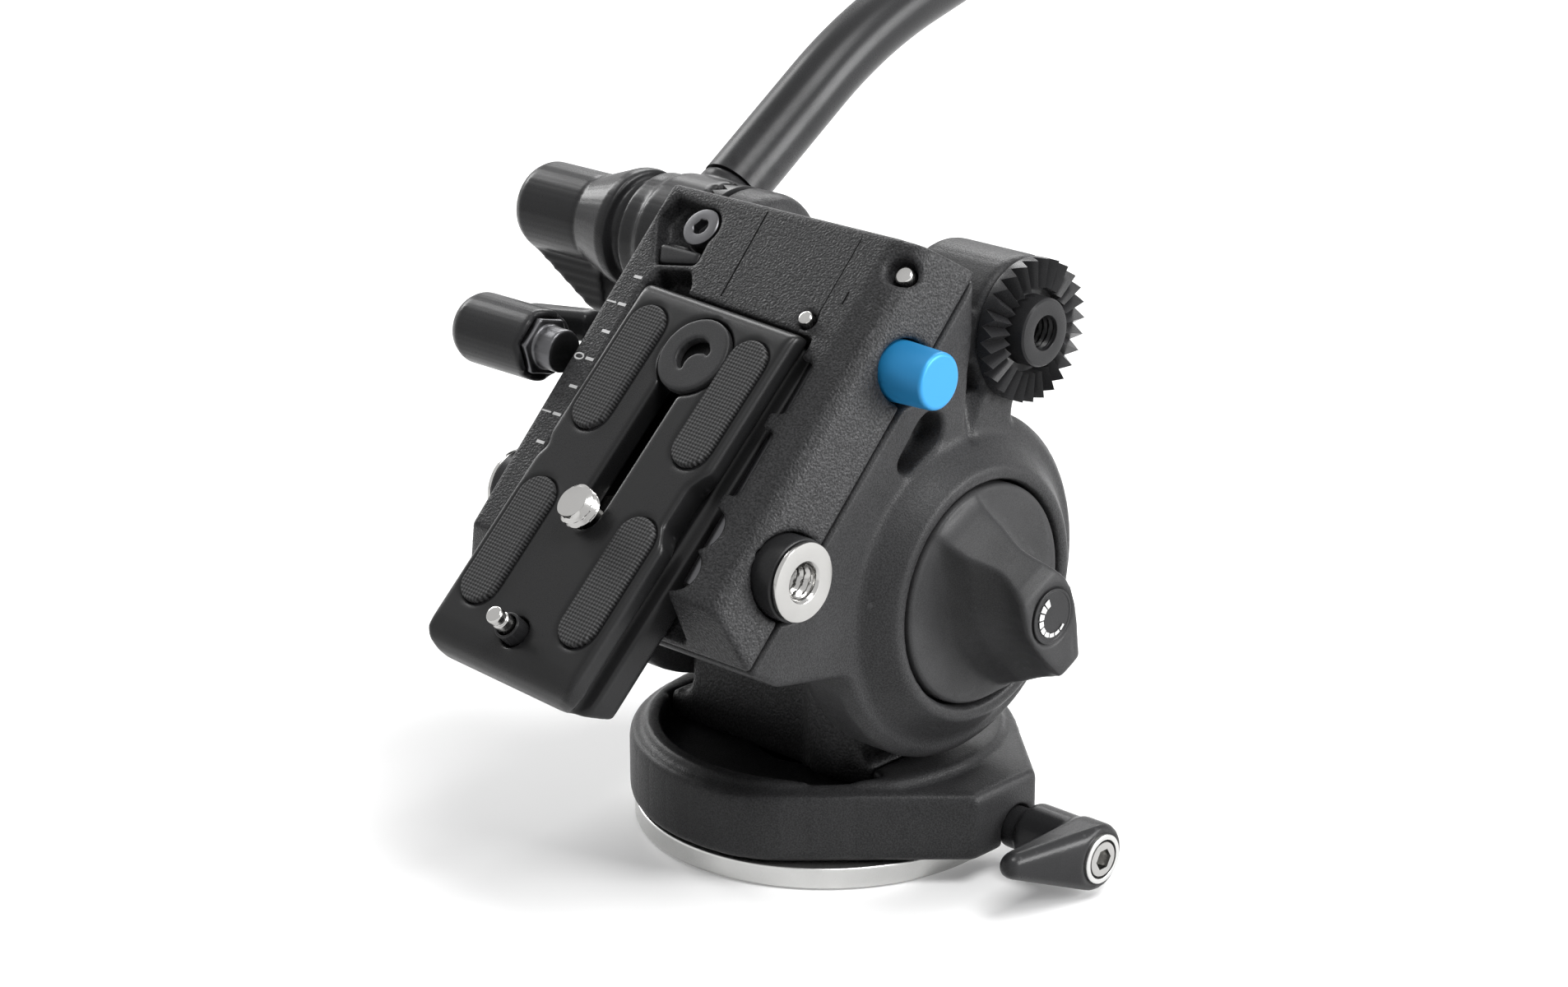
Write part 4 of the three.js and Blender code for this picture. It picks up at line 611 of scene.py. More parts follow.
class Nodes:
    """Lays out the nodes of one tree and joins them."""

    def __init__(self, tree: bpy.types.NodeTree) -> None:
        """Starts on an empty tree."""
        self.tree = tree
        tree.nodes.clear()

    def put(self, kind: str, values: dict[str | int, object] | None = None,
            **settings: object) -> bpy.types.Node:
        """Adds a node.

        Args:
            kind: The node's type.
            values: A number, colour or socket for each input, by its name or number.
            **settings: The node's own options.

        Returns:
            The node.
        """
        node = self.tree.nodes.new(kind)
        for key, value in settings.items():
            setattr(node, key, value)
        self.feed(node, values or {})
        return node

    def feed(self, node: bpy.types.Node, values: dict[str | int, object]) -> None:
        """Gives a node's inputs, by name or number, a number, a colour or a socket.

        Args:
            node: The node.
            values: What each input gets.
        """
        for key, value in values.items():
            if isinstance(value, Socket):
                self.tree.links.new(value, node.inputs[key])
            else:
                node.inputs[key].default_value = value

    def noise(self, place: Socket, scale: object,
              detail: float) -> Socket:
        """The level of a noise."""
        return self.put("ShaderNodeTexNoise", {"Vector": place, "Scale": scale,
                                               "Detail": detail}).outputs["Fac"]

    def span(self, value: Socket, low: object, high: object, to_low: float = 0.0,
             to_high: float = 1.0) -> Socket:
        """A value's place between two levels, as a place between two others."""
        return self.put("ShaderNodeMapRange", {
            "Value": value, "From Min": low, "From Max": high, "To Min": to_low,
            "To Max": to_high}).outputs[0]

    def blend(self, share: Socket, first: object,
              second: object) -> Socket:
        """A colour between two, each given as three numbers or as a socket."""
        colours = {key: value if isinstance(value, Socket) else (*value, 1)
                   for key, value in (("A", first), ("B", second))}
        return self.put("ShaderNodeMix", {"Factor": share, **colours},
                        data_type="RGBA").outputs["Result"]

    def bump(self, height: Socket, depth: float) -> Socket:
        """The direction of a surface raised by a height of that many millimetres."""
        return self.put("ShaderNodeBump", {"Height": height, "Strength": 1.0,
                                           "Distance": depth * MM}).outputs[0]

    def sum(self, operation: str, *values: object) -> Socket:
        """The result of a sum on numbers or sockets."""
        return self.put("ShaderNodeMath", dict(enumerate(values)),
                        operation=operation).outputs[0]


def effect(name: str, inputs: Sequence[tuple[str, str]], outputs: Sequence[tuple[str, str]],
           fill: Callable[[Nodes, bpy.types.Node, bpy.types.Node], None]) -> bpy.types.NodeTree:
    """A shared effect, made once.

    Args:
        name: The group's name.
        inputs: The names and kinds of its inputs.
        outputs: The names and kinds of its outputs.
        fill: Lays its nodes between its input and output nodes.

    Returns:
        The group.
    """
    found = bpy.data.node_groups.get(name)
    if found is not None:
        return found
    tree = bpy.data.node_groups.new(name, "ShaderNodeTree")
    for label, kind in inputs:
        tree.interface.new_socket(label, in_out="INPUT", socket_type="NodeSocket" + kind)
    for label, kind in outputs:
        tree.interface.new_socket(label, in_out="OUTPUT", socket_type="NodeSocket" + kind)
    nodes = Nodes(tree)
    fill(nodes, nodes.put("NodeGroupInput"), nodes.put("NodeGroupOutput"))
    return tree


def grain_effect() -> bpy.types.NodeTree:
    """Small raised grains over slow waves, as sprayed and baked paint has.

    Returns:
        The group: Height and Speck of the grains, Cloud of the waves.
    """

    def fill(nodes: Nodes, given: bpy.types.Node, out: bpy.types.Node) -> None:
        """Grains from cell distances, waves from noise.

        Args:
            nodes: The group's nodes.
            given: Its input node.
            out: Its output node.
        """
        place = given.outputs["Vector"]
        size = nodes.sum("DIVIDE", 1.0, given.outputs["Grain"])
        cells = nodes.put("ShaderNodeTexVoronoi", {"Vector": place, "Scale": size},
                          feature="SMOOTH_F1")
        noise = nodes.noise(place, size, 2.0)
        grains = nodes.sum("SUBTRACT", 1.0, cells.outputs["Distance"])
        nodes.feed(out, {
            "Height": nodes.sum("ADD", nodes.sum("MULTIPLY", grains, 0.6),
                                nodes.sum("MULTIPLY", noise, 0.6)),
            "Cloud": nodes.noise(place, 90.0, 3.0), "Speck": nodes.span(noise, 0.36, 0.64)})

    return effect("paint_grain", [("Vector", "Vector"), ("Grain", "Float")],
                  [("Height", "Float"), ("Cloud", "Float"), ("Speck", "Float")], fill)


def wear_and_highlight_effect() -> bpy.types.NodeTree:
    """Where outer edges are rubbed and also painted lighter as an edge highlight: sharp places,
    broken up by noise.

    Returns:
        The group, whose Mask is one on rubbed edges that also carry a painted highlight.
    """

    def fill(nodes: Nodes, given: bpy.types.Node, out: bpy.types.Node) -> None:
        """Pointed places above a level, times a noise.

        Args:
            nodes: The group's nodes.
            given: Its input node.
            out: Its output node.
        """
        edges, level = nodes.put("ShaderNodeNewGeometry"), given.outputs["Level"]
        sharp = nodes.span(edges.outputs["Pointiness"], level, nodes.sum("ADD", level, 0.12))
        patch = nodes.span(nodes.noise(given.outputs["Vector"], 600.0, 3.0), 0.35, 0.65)
        nodes.feed(out, {"Mask": nodes.sum("MULTIPLY", sharp, patch)})

    return effect("rubbed_and_highlit_edges", [("Vector", "Vector"), ("Level", "Float")],
                  [("Mask", "Float")], fill)


def new_material(name: str) -> tuple[bpy.types.Material, Nodes, bpy.types.Node]:
    """An empty material with its shader joined to its output.

    Args:
        name: The material's name.

    Returns:
        The material, its nodes and its shader.
    """
    material = bpy.data.materials.new(name)
    material.use_nodes = True
    nodes = Nodes(material.node_tree)
    shader = nodes.put("ShaderNodeBsdfPrincipled")
    nodes.put("ShaderNodeOutputMaterial", {"Surface": shader.outputs[0]})
    return material, nodes, shader


@dataclass(frozen=True)
class Finish:
    """A look that pieces share."""

    name: str

    def lay(self, nodes: Nodes, shader: bpy.types.Node) -> None:
        """Joins the finish's own nodes to the shader."""
        raise NotImplementedError(self.name)

    def dress(self, piece: Piece) -> None:
        """Puts the finish on a piece. Its material is made the first time that one asks for it.

        Args:
            piece: The piece.
        """
        material = bpy.data.materials.get(self.name)
        if material is None:
            material, nodes, shader = new_material(self.name)
            self.lay(nodes, shader)
        put_on(piece, material)


@dataclass(frozen=True)
class Paint(Finish):
    """Black or white paint: grainy, with sharp edges lightened, partly as rubbed paint and partly
    as a painted edge highlight.
    """

    colour: tuple[float, float, float]
    roughness: float
    grain: float = 0.35
    depth: float = 0.02
    specular: float = 0.5
    # The share, level and grey of the lightened sharp edges: rubbed paint, and a painted edge
    # highlight.
    edge_wear_and_highlight: float = 0.25
    wear_and_highlight_level: float = 0.55
    wear_and_highlight_colour: tuple[float, float, float] = (0.13, 0.13, 0.135)
    speckle: float = 0.3
    dark_share: float = 0.35
    light_share: float = 1.65
    rough_change: float = 0.06

    def lay(self, nodes: Nodes, shader: bpy.types.Node) -> None:
        """Grains and clouds in the colour, grains in the roughness and height, and sharp edges
        lightened as rubbed paint and a painted edge highlight.

        Args:
            nodes: The material's nodes.
            shader: Its shader.
        """
        place = nodes.put("ShaderNodeTexCoord").outputs["Object"]
        grain = nodes.put("ShaderNodeGroup", {}, node_tree=grain_effect())
        nodes.feed(grain, {"Vector": place, "Grain": self.grain * MM})
        edge_wear_and_highlight = nodes.put("ShaderNodeGroup", {}, node_tree=wear_and_highlight_effect())
        nodes.feed(edge_wear_and_highlight, {"Vector": place, "Level": self.wear_and_highlight_level})
        mix = nodes.sum("ADD", nodes.sum("MULTIPLY", grain.outputs["Cloud"], 1 - self.speckle),
                        nodes.sum("MULTIPLY", grain.outputs["Speck"], self.speckle))
        tone = nodes.blend(mix, [self.dark_share * v for v in self.colour],
                           [min(1.0, self.light_share * v) for v in self.colour])
        nodes.feed(shader, {
            # Sharp edges blend towards a lighter grey: rubbed paint and a painted edge highlight.
            "Base Color": nodes.blend(nodes.sum("MULTIPLY", edge_wear_and_highlight.outputs["Mask"], self.edge_wear_and_highlight),
                                      tone, self.wear_and_highlight_colour),
            "Roughness": nodes.span(mix, 0.2, 0.8, self.roughness + self.rough_change,
                                    self.roughness - self.rough_change),
            "Normal": nodes.bump(grain.outputs["Height"], self.depth),
            "Specular IOR Level": self.specular})


@dataclass(frozen=True)
class Metal(Finish):
    """Bare, plated or anodised metal with fine tool marks."""

    colour: tuple[float, float, float]
    roughness: float
    marks: float = 0.12
    depth: float = 0.003

    def lay(self, nodes: Nodes, shader: bpy.types.Node) -> None:
        """Slow clouds in the colour, fine marks in the roughness and height.

        Args:
            nodes: The material's nodes.
            shader: Its shader.
        """
        place = nodes.put("ShaderNodeTexCoord").outputs["Object"]
        fine, slow = nodes.noise(place, 1 / (self.marks * MM), 3.0), nodes.noise(place, 160.0, 3.0)
        nodes.feed(shader, {
            "Base Color": nodes.blend(slow, [0.86 * v for v in self.colour],
                                      [min(1.0, 1.1 * v) for v in self.colour]),
            "Roughness": nodes.span(fine, 0.3, 0.7, 0.8 * self.roughness, 1.25 * self.roughness),
            "Normal": nodes.bump(fine, self.depth), "Metallic": 1.0})


@dataclass(frozen=True)
class WovenRubber(Finish):
    """Black rubber pressed with a fine diagonal weave, in the camera plate's directions, with
    painted shade in its hollows and painted light on its crests.
    """

    pitch: float = 0.8
    depth: float = 0.2
    # The weave's hollows are painted darker and its crests lighter: painted shade and light.
    shaded_hollow_colour: tuple[float, float, float] = (0.008, 0.008, 0.008)
    lit_crest_colour: tuple[float, float, float] = (0.085, 0.085, 0.087)

    def lay(self, nodes: Nodes, shader: bpy.types.Node) -> None:
        """Two crossed waves make the weave, with a fine noise on it; the colour follows the weave
        as painted shade and light.

        Args:
            nodes: The material's nodes.
            shader: Its shader.
        """
        uv = nodes.put("ShaderNodeUVMap", uv_map="flat")
        across, along, _ = nodes.put("ShaderNodeSeparateXYZ", {"Vector": uv.outputs[0]}).outputs
        scale = 2 * math.pi / (self.pitch * math.sqrt(2) * MM)
        first, second = (
            nodes.sum("SINE", nodes.sum("MULTIPLY", nodes.sum(way, across, along), scale))
            for way in ("ADD", "SUBTRACT"))
        weave = nodes.span(nodes.sum("MULTIPLY", first, second), -0.6, 0.8)
        noise = nodes.noise(nodes.put("ShaderNodeTexCoord").outputs["Object"], 2500.0, 2.0)
        nodes.feed(shader, {
            # Painted shade in the weave's hollows, painted light on its crests.
            "Base Color": nodes.blend(weave, self.shaded_hollow_colour, self.lit_crest_colour),
            "Normal": nodes.bump(nodes.sum("ADD", weave, nodes.sum("MULTIPLY", noise, 0.2)),
                                 self.depth),
            "Roughness": 0.75, "Specular IOR Level": 0.3})


def put_on(piece: Piece, material: bpy.types.Material) -> None:
    """Gives a piece one material, in its object's slots.

    Args:
        piece: The piece.
        material: What it wears.
    """
    if not piece.material_slots:
        piece.data.materials.append(None)
    for material_slot in piece.material_slots:
        material_slot.link = "OBJECT"
        material_slot.material = material


CASTING = Paint("cast_black", (0.027, 0.027, 0.028), 0.44, grain=0.34, depth=0.15, specular=0.18,
                speckle=0.8)
HOUSING = Paint("painted_black", (0.028, 0.028, 0.029), 0.40, grain=0.24, depth=0.05, specular=0.15,
                speckle=0.5)
SMOOTH = Paint("smooth_black", (0.020, 0.020, 0.021), 0.30, grain=0.16, depth=0.008, specular=0.18)
PLASTIC = Paint("moulded_black", (0.032, 0.032, 0.033), 0.42, grain=0.16, depth=0.01,
                specular=0.15, edge_wear_and_highlight=0.1)
ANODISED = Paint("anodised_black", (0.012, 0.012, 0.0125), 0.30, grain=0.12, depth=0.012,
                 specular=0.22, edge_wear_and_highlight=0.3)
FOAM = Paint("grip_foam", (0.016, 0.016, 0.016), 0.85, grain=0.7, depth=0.12, specular=0.15,
             edge_wear_and_highlight=0.0)
MARKS = Paint("white_marks", (0.85, 0.85, 0.85), 0.5, grain=0.1, depth=0.002, edge_wear_and_highlight=0.0,
              speckle=0.0)
# Near-black strips for cut lines and cut marks: painted shade of grooves and edges.
GROOVE_SHADE = Paint("painted_groove_shade", (0.003, 0.003, 0.003), 0.7, grain=0.1, depth=0.002, specular=0.05,
            edge_wear_and_highlight=0.0)
SILVER = Metal("satin_silver", (0.60, 0.60, 0.59), 0.32)
STEEL = Metal("bright_steel", (0.44, 0.435, 0.425), 0.18)
DARK_STEEL = Metal("blackened_steel", (0.11, 0.11, 0.115), 0.34)
BLUE = Metal("blue_anodised", (0.004, 0.085, 0.27), 0.24)
RUBBER = WovenRubber("woven_rubber")


def install(piece: Piece, body: str, nodes: Sequence[str],
            finish: Finish) -> Piece:
    """Dresses a new piece, lets it ride on its body and hides what it stands for.

    Args:
        piece: The new object.
        body: The body that carries it.
        nodes: The nodes it stands for, if any.
        finish: What it is dressed in.

    Returns:
        The same object.
    """
    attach(piece, body)
    if nodes:
        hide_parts(*nodes)
    finish.dress(piece)
    LOG.info("%s: %d faces, rides on %s", piece.name, len(piece.data.polygons), body)
    return piece


def dress_nodes(finish: Finish, *names: str) -> None:
    """Gives nodes of the frame that stay their finish.

    Args:
        finish: The finish.
        *names: The nodes.
    """
    for name in names:
        finish.dress(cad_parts[name])
        LOG.info("%s stays", name)


def cover(skin: Skin, node: str, how: str, place: Place, body: str,
          finish: Finish) -> None:
    """Lays a rounded skin over one node and installs it on its body."""
    install(skin.over(node, how, place), body, [node], finish)


def tube(inner: float, outer: float, low: float, high: float,
         edges: Sequence[float]) -> list[tuple[float, float, float]]:
    """The profile of a tube, with the edges of its inner start, both outer corners, inner end."""
    return [(inner, low, edges[0]), (outer, low, edges[1]), (outer, high, edges[2]),
            (inner, high, edges[3])]


def rod(radius: float, low: float, high: float, low_edge: float,
        high_edge: float) -> list[tuple[float, float, float]]:
    """The profile of a full rod."""
    return [(0, low, 0), (radius, low, low_edge), (radius, high, high_edge), (0, high, 0)]


def hex_recess(flat: float) -> Shaping:
    """A shaping that makes the rings of a hole's own size six-sided.

    The radius of a six-sided ring is half the width across flats over the cosine of the angle
    from the nearest flat's middle. Rings near that half width are the hole's.

    Args:
        flat: Width across the flats.

    Returns:
        The shaping.
    """

    def shaping(radius: Array, along: Array,
                angle: Array) -> tuple[Array, Array]:
        """Six-sided where the ring is of the hole's size.

        Args:
            radius: Radii of the grid.
            along: Distances along the axis.
            angle: Radians round it.

        Returns:
            The new radii and distances.
        """
        half = flat / 2
        off = np.mod(angle, math.pi / 3) - math.pi / 6
        hole = (radius > (1 - HEX_BAND) * half) & (radius < (1 + HEX_BAND) * half)
        return np.where(hole, radius / np.cos(off), radius), along

    return shaping


def thread(pitch: float, depth: float, low: float, high: float, inside: bool,
           limit: float) -> Shaping:
    """A shaping that cuts a screw thread.

    The groove's depth is a wave of the distance over the pitch less the angle over the turn, and
    it fades out over one pitch at both ends.

    Args:
        pitch: Distance from crest to crest.
        depth: Depth of the groove.
        low: Where the thread starts along the axis.
        high: Where it ends.
        inside: Whether it is cut into a bore, outwards, or into a rod, inwards.
        limit: The radius that parts the threaded rings from the others.

    Returns:
        The shaping.
    """

    def shaping(radius: Array, along: Array,
                angle: Array) -> tuple[Array, Array]:
        """The threaded radius.

        Args:
            radius: Radii of the grid.
            along: Distances along the axis.
            angle: Radians round it.

        Returns:
            The new radii and distances.
        """
        turn = along / pitch - angle / (2 * math.pi)
        wave = np.abs(2 * (turn - np.floor(turn)) - 1)
        fade = np.clip((along - low) / pitch, 0, 1) * np.clip((high - along) / pitch, 0, 1)
        mine = (radius < limit) if inside else (radius > limit)
        sign = 1 if inside else -1
        return radius + sign * depth * wave * fade * mine, along

    return shaping


def ladder(radius: float, start: float, stop: float, step: float) -> list[list[float]]:
    """Profile corners close together along a straight wall, for a thread to be cut into."""
    count = max(2, int(abs(stop - start) / step))
    return [[radius, float(t), 0.0] for t in np.linspace(start, stop, count)]


def inlays(name: str, corners: Array, levels: tuple[float, float], place: Place,
           axis: Axis) -> Piece:
    """Thin four-cornered plates that lie on a flat face.

    Each plate is its four corners at the first level along the axis and again at the second.

    Args:
        name: The object's name.
        corners: For each plate four rows, in order round it, in the two other directions.
        levels: Where the plates start and end along the axis.
        place: The directions they are built in.
        axis: The direction that the face looks along.

    Returns:
        The object.
    """
    flat = np.repeat(corners[:, None], 2, axis=1)
    height = np.broadcast_to(np.array(levels)[None, :, None, None], (*flat.shape[:3], 1))
    points = np.concatenate([flat, height], axis=-1)[..., axis.value].reshape(-1, 3)
    box = np.array([[0, 3, 2, 1], [4, 5, 6, 7], [0, 1, 5, 4], [1, 2, 6, 5], [2, 3, 7, 6],
                    [3, 0, 4, 7]])
    faces = (box[None] + 8 * np.arange(len(corners))[:, None, None]).reshape(-1, 4)
    return creased(mesh_object(name, place.world(points), faces), CREASE_DEG)


def strokes(lines: Array) -> Array:
    """Corners of straight strokes.

    A stroke's corners are its two ends moved half its width to either side, square to its run.

    Args:
        lines: Rows of start, end and width, as five numbers.

    Returns:
        Four corners for each row.
    """
    start, stop, width = lines[:, 0:2], lines[:, 2:4], lines[:, 4:5]
    run = (stop - start) / np.linalg.norm(stop - start, axis=1, keepdims=True)
    side = np.stack([-run[:, 1], run[:, 0]], axis=1) * width / 2
    return np.stack([start - side, stop - side, stop + side, start + side], axis=1)


# Sub-assemblies


@dataclass
class BaseUnit:
    """The base plate under the pan housing, with its thread bush, retainer and bearing."""

    radius: float = 30.3
    height: float = 3.5
    recess_radius: float = 21.0
    recess_depth: float = 0.6
    boss_radius: float = 9.0
    boss_top: float = 8.6
    bore_radius: float = 7.1
    thread_radius: float = 4.76
    bush_radius: float = 6.8
    thread_pitch: float = 1.5875
    thread_depth: float = 0.8

    def build(self) -> None:
        """Builds the plate and the bush, and dresses what is hidden."""
        plate = turned("base_plate_turned", [
            (self.bore_radius, self.recess_depth, 0.3),
            (self.recess_radius, self.recess_depth, 0.2),
            (self.recess_radius, 0, 0.2), (self.radius, 0, 0.5),
            (self.radius, self.height, 0.45), (self.boss_radius, self.height, 0.2),
            (self.boss_radius, self.boss_top, 0.3), (self.bore_radius, self.boss_top, 0.3),
        ], WORLD, Axis.Z, sides=160)
        install(plate, "base", ["base_ring"], SILVER)
        low, high = self.recess_depth, self.boss_top
        inner = self.thread_radius
        bush = turned("thread_bush_turned", [
            (self.bush_radius, low, 0.2), (self.bush_radius, high, 0.2), (inner, high, 0.3),
            *ladder(inner, high - 0.4, low + 0.4, self.thread_pitch / 8), (inner, low, 0.3),
        ], WORLD, Axis.Z, sides=64, shaping=thread(
            self.thread_pitch, self.thread_depth, low, high, True, self.bush_radius - 0.5))
        install(bush, "base", ["base_thread_bush"], STEEL)
        dress_nodes(STEEL, "pan_retainer")
        dress_nodes(PLASTIC, "pan_bearing")


@dataclass
class PanUnit:
    """The pan housing, the stalk in it and the tilt axle."""

    housing: Skin = Skin(cell=0.38, fillet=0.5, edge=0.35, facets=(
        Facets(Axis.Z, 37.29, 48.29, radius=(29.4, 31.6)),
        Facets(Axis.Z, 40, radius=(27.3, 29.4), second=(36.85, 45.52)),
        Facets(Axis.Z, 40, radius=(0.0, 27.3))))
    stalk: Skin = Skin(cell=0.45, fillet=2.6, edge=0.8, facets=(Facets(Axis.X, 40),))

    def build(self) -> None:
        """Builds the castings and dresses the axle."""
        cover(self.housing, "pan_housing", "cast", WORLD, "pan_body", HOUSING)
        standing = WORLD.inside(np.eye(3), (0.0, 0.0, TILT_AXIS_HEIGHT))
        cover(self.stalk, "stalk", "cast", standing, "pan_body", CASTING)
        dress_nodes(STEEL, "tilt_axle")


@dataclass
class PanLock:
    """The pan lock lever with its ring and socket screw."""

    axis: tuple[float, float] = (5.0, 6.4)
    face_x: float = 53.0
    ring_radius: float = 3.9
    ring_depth: float = 0.7
    screw_radius: float = 2.8
    stem_radius: float = 1.7
    stem_depth: float = 4.0
    hex_flat: float = 3.0
    hex_depth: float = 2.0
    proud: float = 0.3
    ring_gap: float = 0.15
    lever: Skin = Skin(cell=0.25, fillet=0.6, edge=0.5, spread=0.9)

    def build(self) -> None:
        """Builds the lever, its ring and its screw."""
        place = WORLD.inside(np.eye(3), (0.0, *self.axis))
        cover(self.lever, "pan_lock_lever", "cast", place, "pan_lock", SMOOTH)
        back, front = self.face_x - self.ring_depth + self.ring_gap, self.face_x + self.proud
        ring = turned("pan_lock_ring_turned", tube(
            self.screw_radius + SEAT_GAP, self.ring_radius, back, front, (0.1, 0.1, 0.25, 0.15)),
            place, Axis.X, sides=64)
        install(ring, "pan_lock", ["pan_lock_ring"], SILVER)
        half, end = self.hex_flat / 2, self.face_x - self.stem_depth
        screw = turned("pan_lock_screw_turned", [
            (0, end, 0), (self.stem_radius, end, 0.2),
            (self.stem_radius, back, 0.1), (self.screw_radius, back, 0.1),
            (self.screw_radius, front, 0.3), (half, front, 0.06),
            (half, front - self.hex_depth, 0.06), (0, front - self.hex_depth, 0),
        ], place, Axis.X, sides=72, shaping=hex_recess(self.hex_flat))
        install(screw, "pan_lock", ["pan_lock_screw"], STEEL)


@dataclass
class TiltHousing:
    """The tilting casting: cheeks, bridge and ears, with the cap on its left side."""

    cap_radius: float = 12.0
    cap_thickness: float = 2.6
    cap_sink: float = 0.5
    cap_rim: tuple[float, float] = (2.4, 2.7)
    outer_x: float = 28.5
    casting: Skin = Skin(cell=0.4, fillet=0.7, edge=0.4, facets=(
        Facets(Axis.X, 40, radius=(12.5, 29.0)),
        Facets(Axis.X, 40, radius=(8.0, 11.4), centre=(EAR_L, EAR_N))))

    def build(self) -> None:
        """Builds the casting and the cap."""
        cover(self.casting, "tilt_housing", "cast", TILTING, "tilt_body",
              HOUSING)
        outer = mirrored(self.outer_x)
        inner, sunk = outer + self.cap_thickness, outer + self.cap_sink
        cap = turned("axle_cap_turned", [
            (0, inner, 0), (self.cap_radius, inner, 0.3), (self.cap_radius, outer, 0.8),
            (self.cap_radius - self.cap_rim[0], outer, 0.3),
            (self.cap_radius - self.cap_rim[1], sunk, 0.3), (0, sunk, 0)], TILTING, Axis.X)
        install(cap, "tilt_body", ["axle_cap"], PLASTIC)


@dataclass
class Rosettes:
    """The toothed rosettes on both ears."""

    teeth: int = 27
    seat_x: float = 28.8
    back_x: float = 29.4
    tip_x: float = 31.6
    radius: float = 11.0
    inner_radius: float = 6.6
    inner_drop: float = 0.55
    plug_radius: float = 7.4
    plug_depth_x: float = 26.1
    boss_radius: float = 5.35
    boss_x: float = 33.0
    bore_radius: float = 2.65
    thread_pitch: float = 1.0
    thread_depth: float = 0.4
    rim: float = 0.2
    face_reach: float = 0.35

    def _shaping(self, way: int, low: float, high: float) -> Shaping:
        """Teeth on the ring's face and a thread in the bore.

        The face drops from crest to valley as a triangle wave of the angle, and the drop grows
        from its inner share at the inner rim to the whole at the outer rim.

        Args:
            way: 1 on the right side and -1 on the left.
            low: Start of the thread.
            high: End of the thread.

        Returns:
            The shaping.
        """
        cut = thread(self.thread_pitch, self.thread_depth, low, high, True, self.bore_radius + 0.2)

        def shaping(radius: Array, along: Array,
                    angle: Array) -> tuple[Array, Array]:
            """The toothed and threaded grids.

            Args:
                radius: Radii of the grid.
                along: Distances along the axis.
                angle: Radians round it.

            Returns:
                The new radii and distances.
            """
            tip = self.tip_x if way > 0 else mirrored(self.tip_x)
            turn = angle * self.teeth / (2 * math.pi)
            wave = np.abs(2 * (turn - np.floor(turn)) - 1)
            share = (radius - self.inner_radius) / (self.radius - self.inner_radius)
            drop = (self.tip_x - self.back_x) * (self.inner_drop + (1 - self.inner_drop) * share)
            face = (np.abs(along - tip) < self.face_reach) & (radius > self.inner_radius - 0.05)
            along = np.where(face, along - way * drop * wave, along)
            return cut(radius, along, angle)

        return shaping

    def _build_side(self, side: str, way: int) -> None:
        """Builds the rosette of one side.

        Args:
            side: Its name, right or left.
            way: 1 on the right side and -1 on the left.
        """
        place = unchanged if way > 0 else mirrored
        seat, back, tip = place(self.seat_x), place(self.back_x), place(self.tip_x)
        plug, top = place(self.plug_depth_x), place(self.boss_x if way > 0 else self.back_x)
        outer, inner = self.radius - self.rim, self.inner_radius + self.rim
        boss = [(self.boss_radius, back, 0.15), (self.boss_radius, top, 0.8)] if way > 0 else []
        corners = [
            (self.bore_radius, plug, 0.1), (self.plug_radius, plug, 0.2),
            (self.plug_radius, seat, 0.1), (self.radius, seat, 0.15),
            (self.radius, tip, 0), *[(r, tip, 0) for r in np.linspace(outer, inner, 6)],
            (self.inner_radius, tip, 0), (self.inner_radius, back, 0.1), *boss,
            (self.bore_radius, top, 0.35),
            *ladder(self.bore_radius, top - way * 0.5, plug + way * 0.5, self.thread_pitch / 8),
        ]
        low, high = min(plug, top), max(plug, top)
        piece = turned(f"rosette_{side}_toothed", corners, TILTING, Axis.X, (EAR_L, EAR_N),
                       sides=self.teeth * 8, shaping=self._shaping(way, low, high))
        install(piece, "tilt_body", [f"rosette_{side}"], SMOOTH)

    def build(self) -> None:
        """Builds both sides."""
        self._build_side("right", 1)
        self._build_side("left", -1)


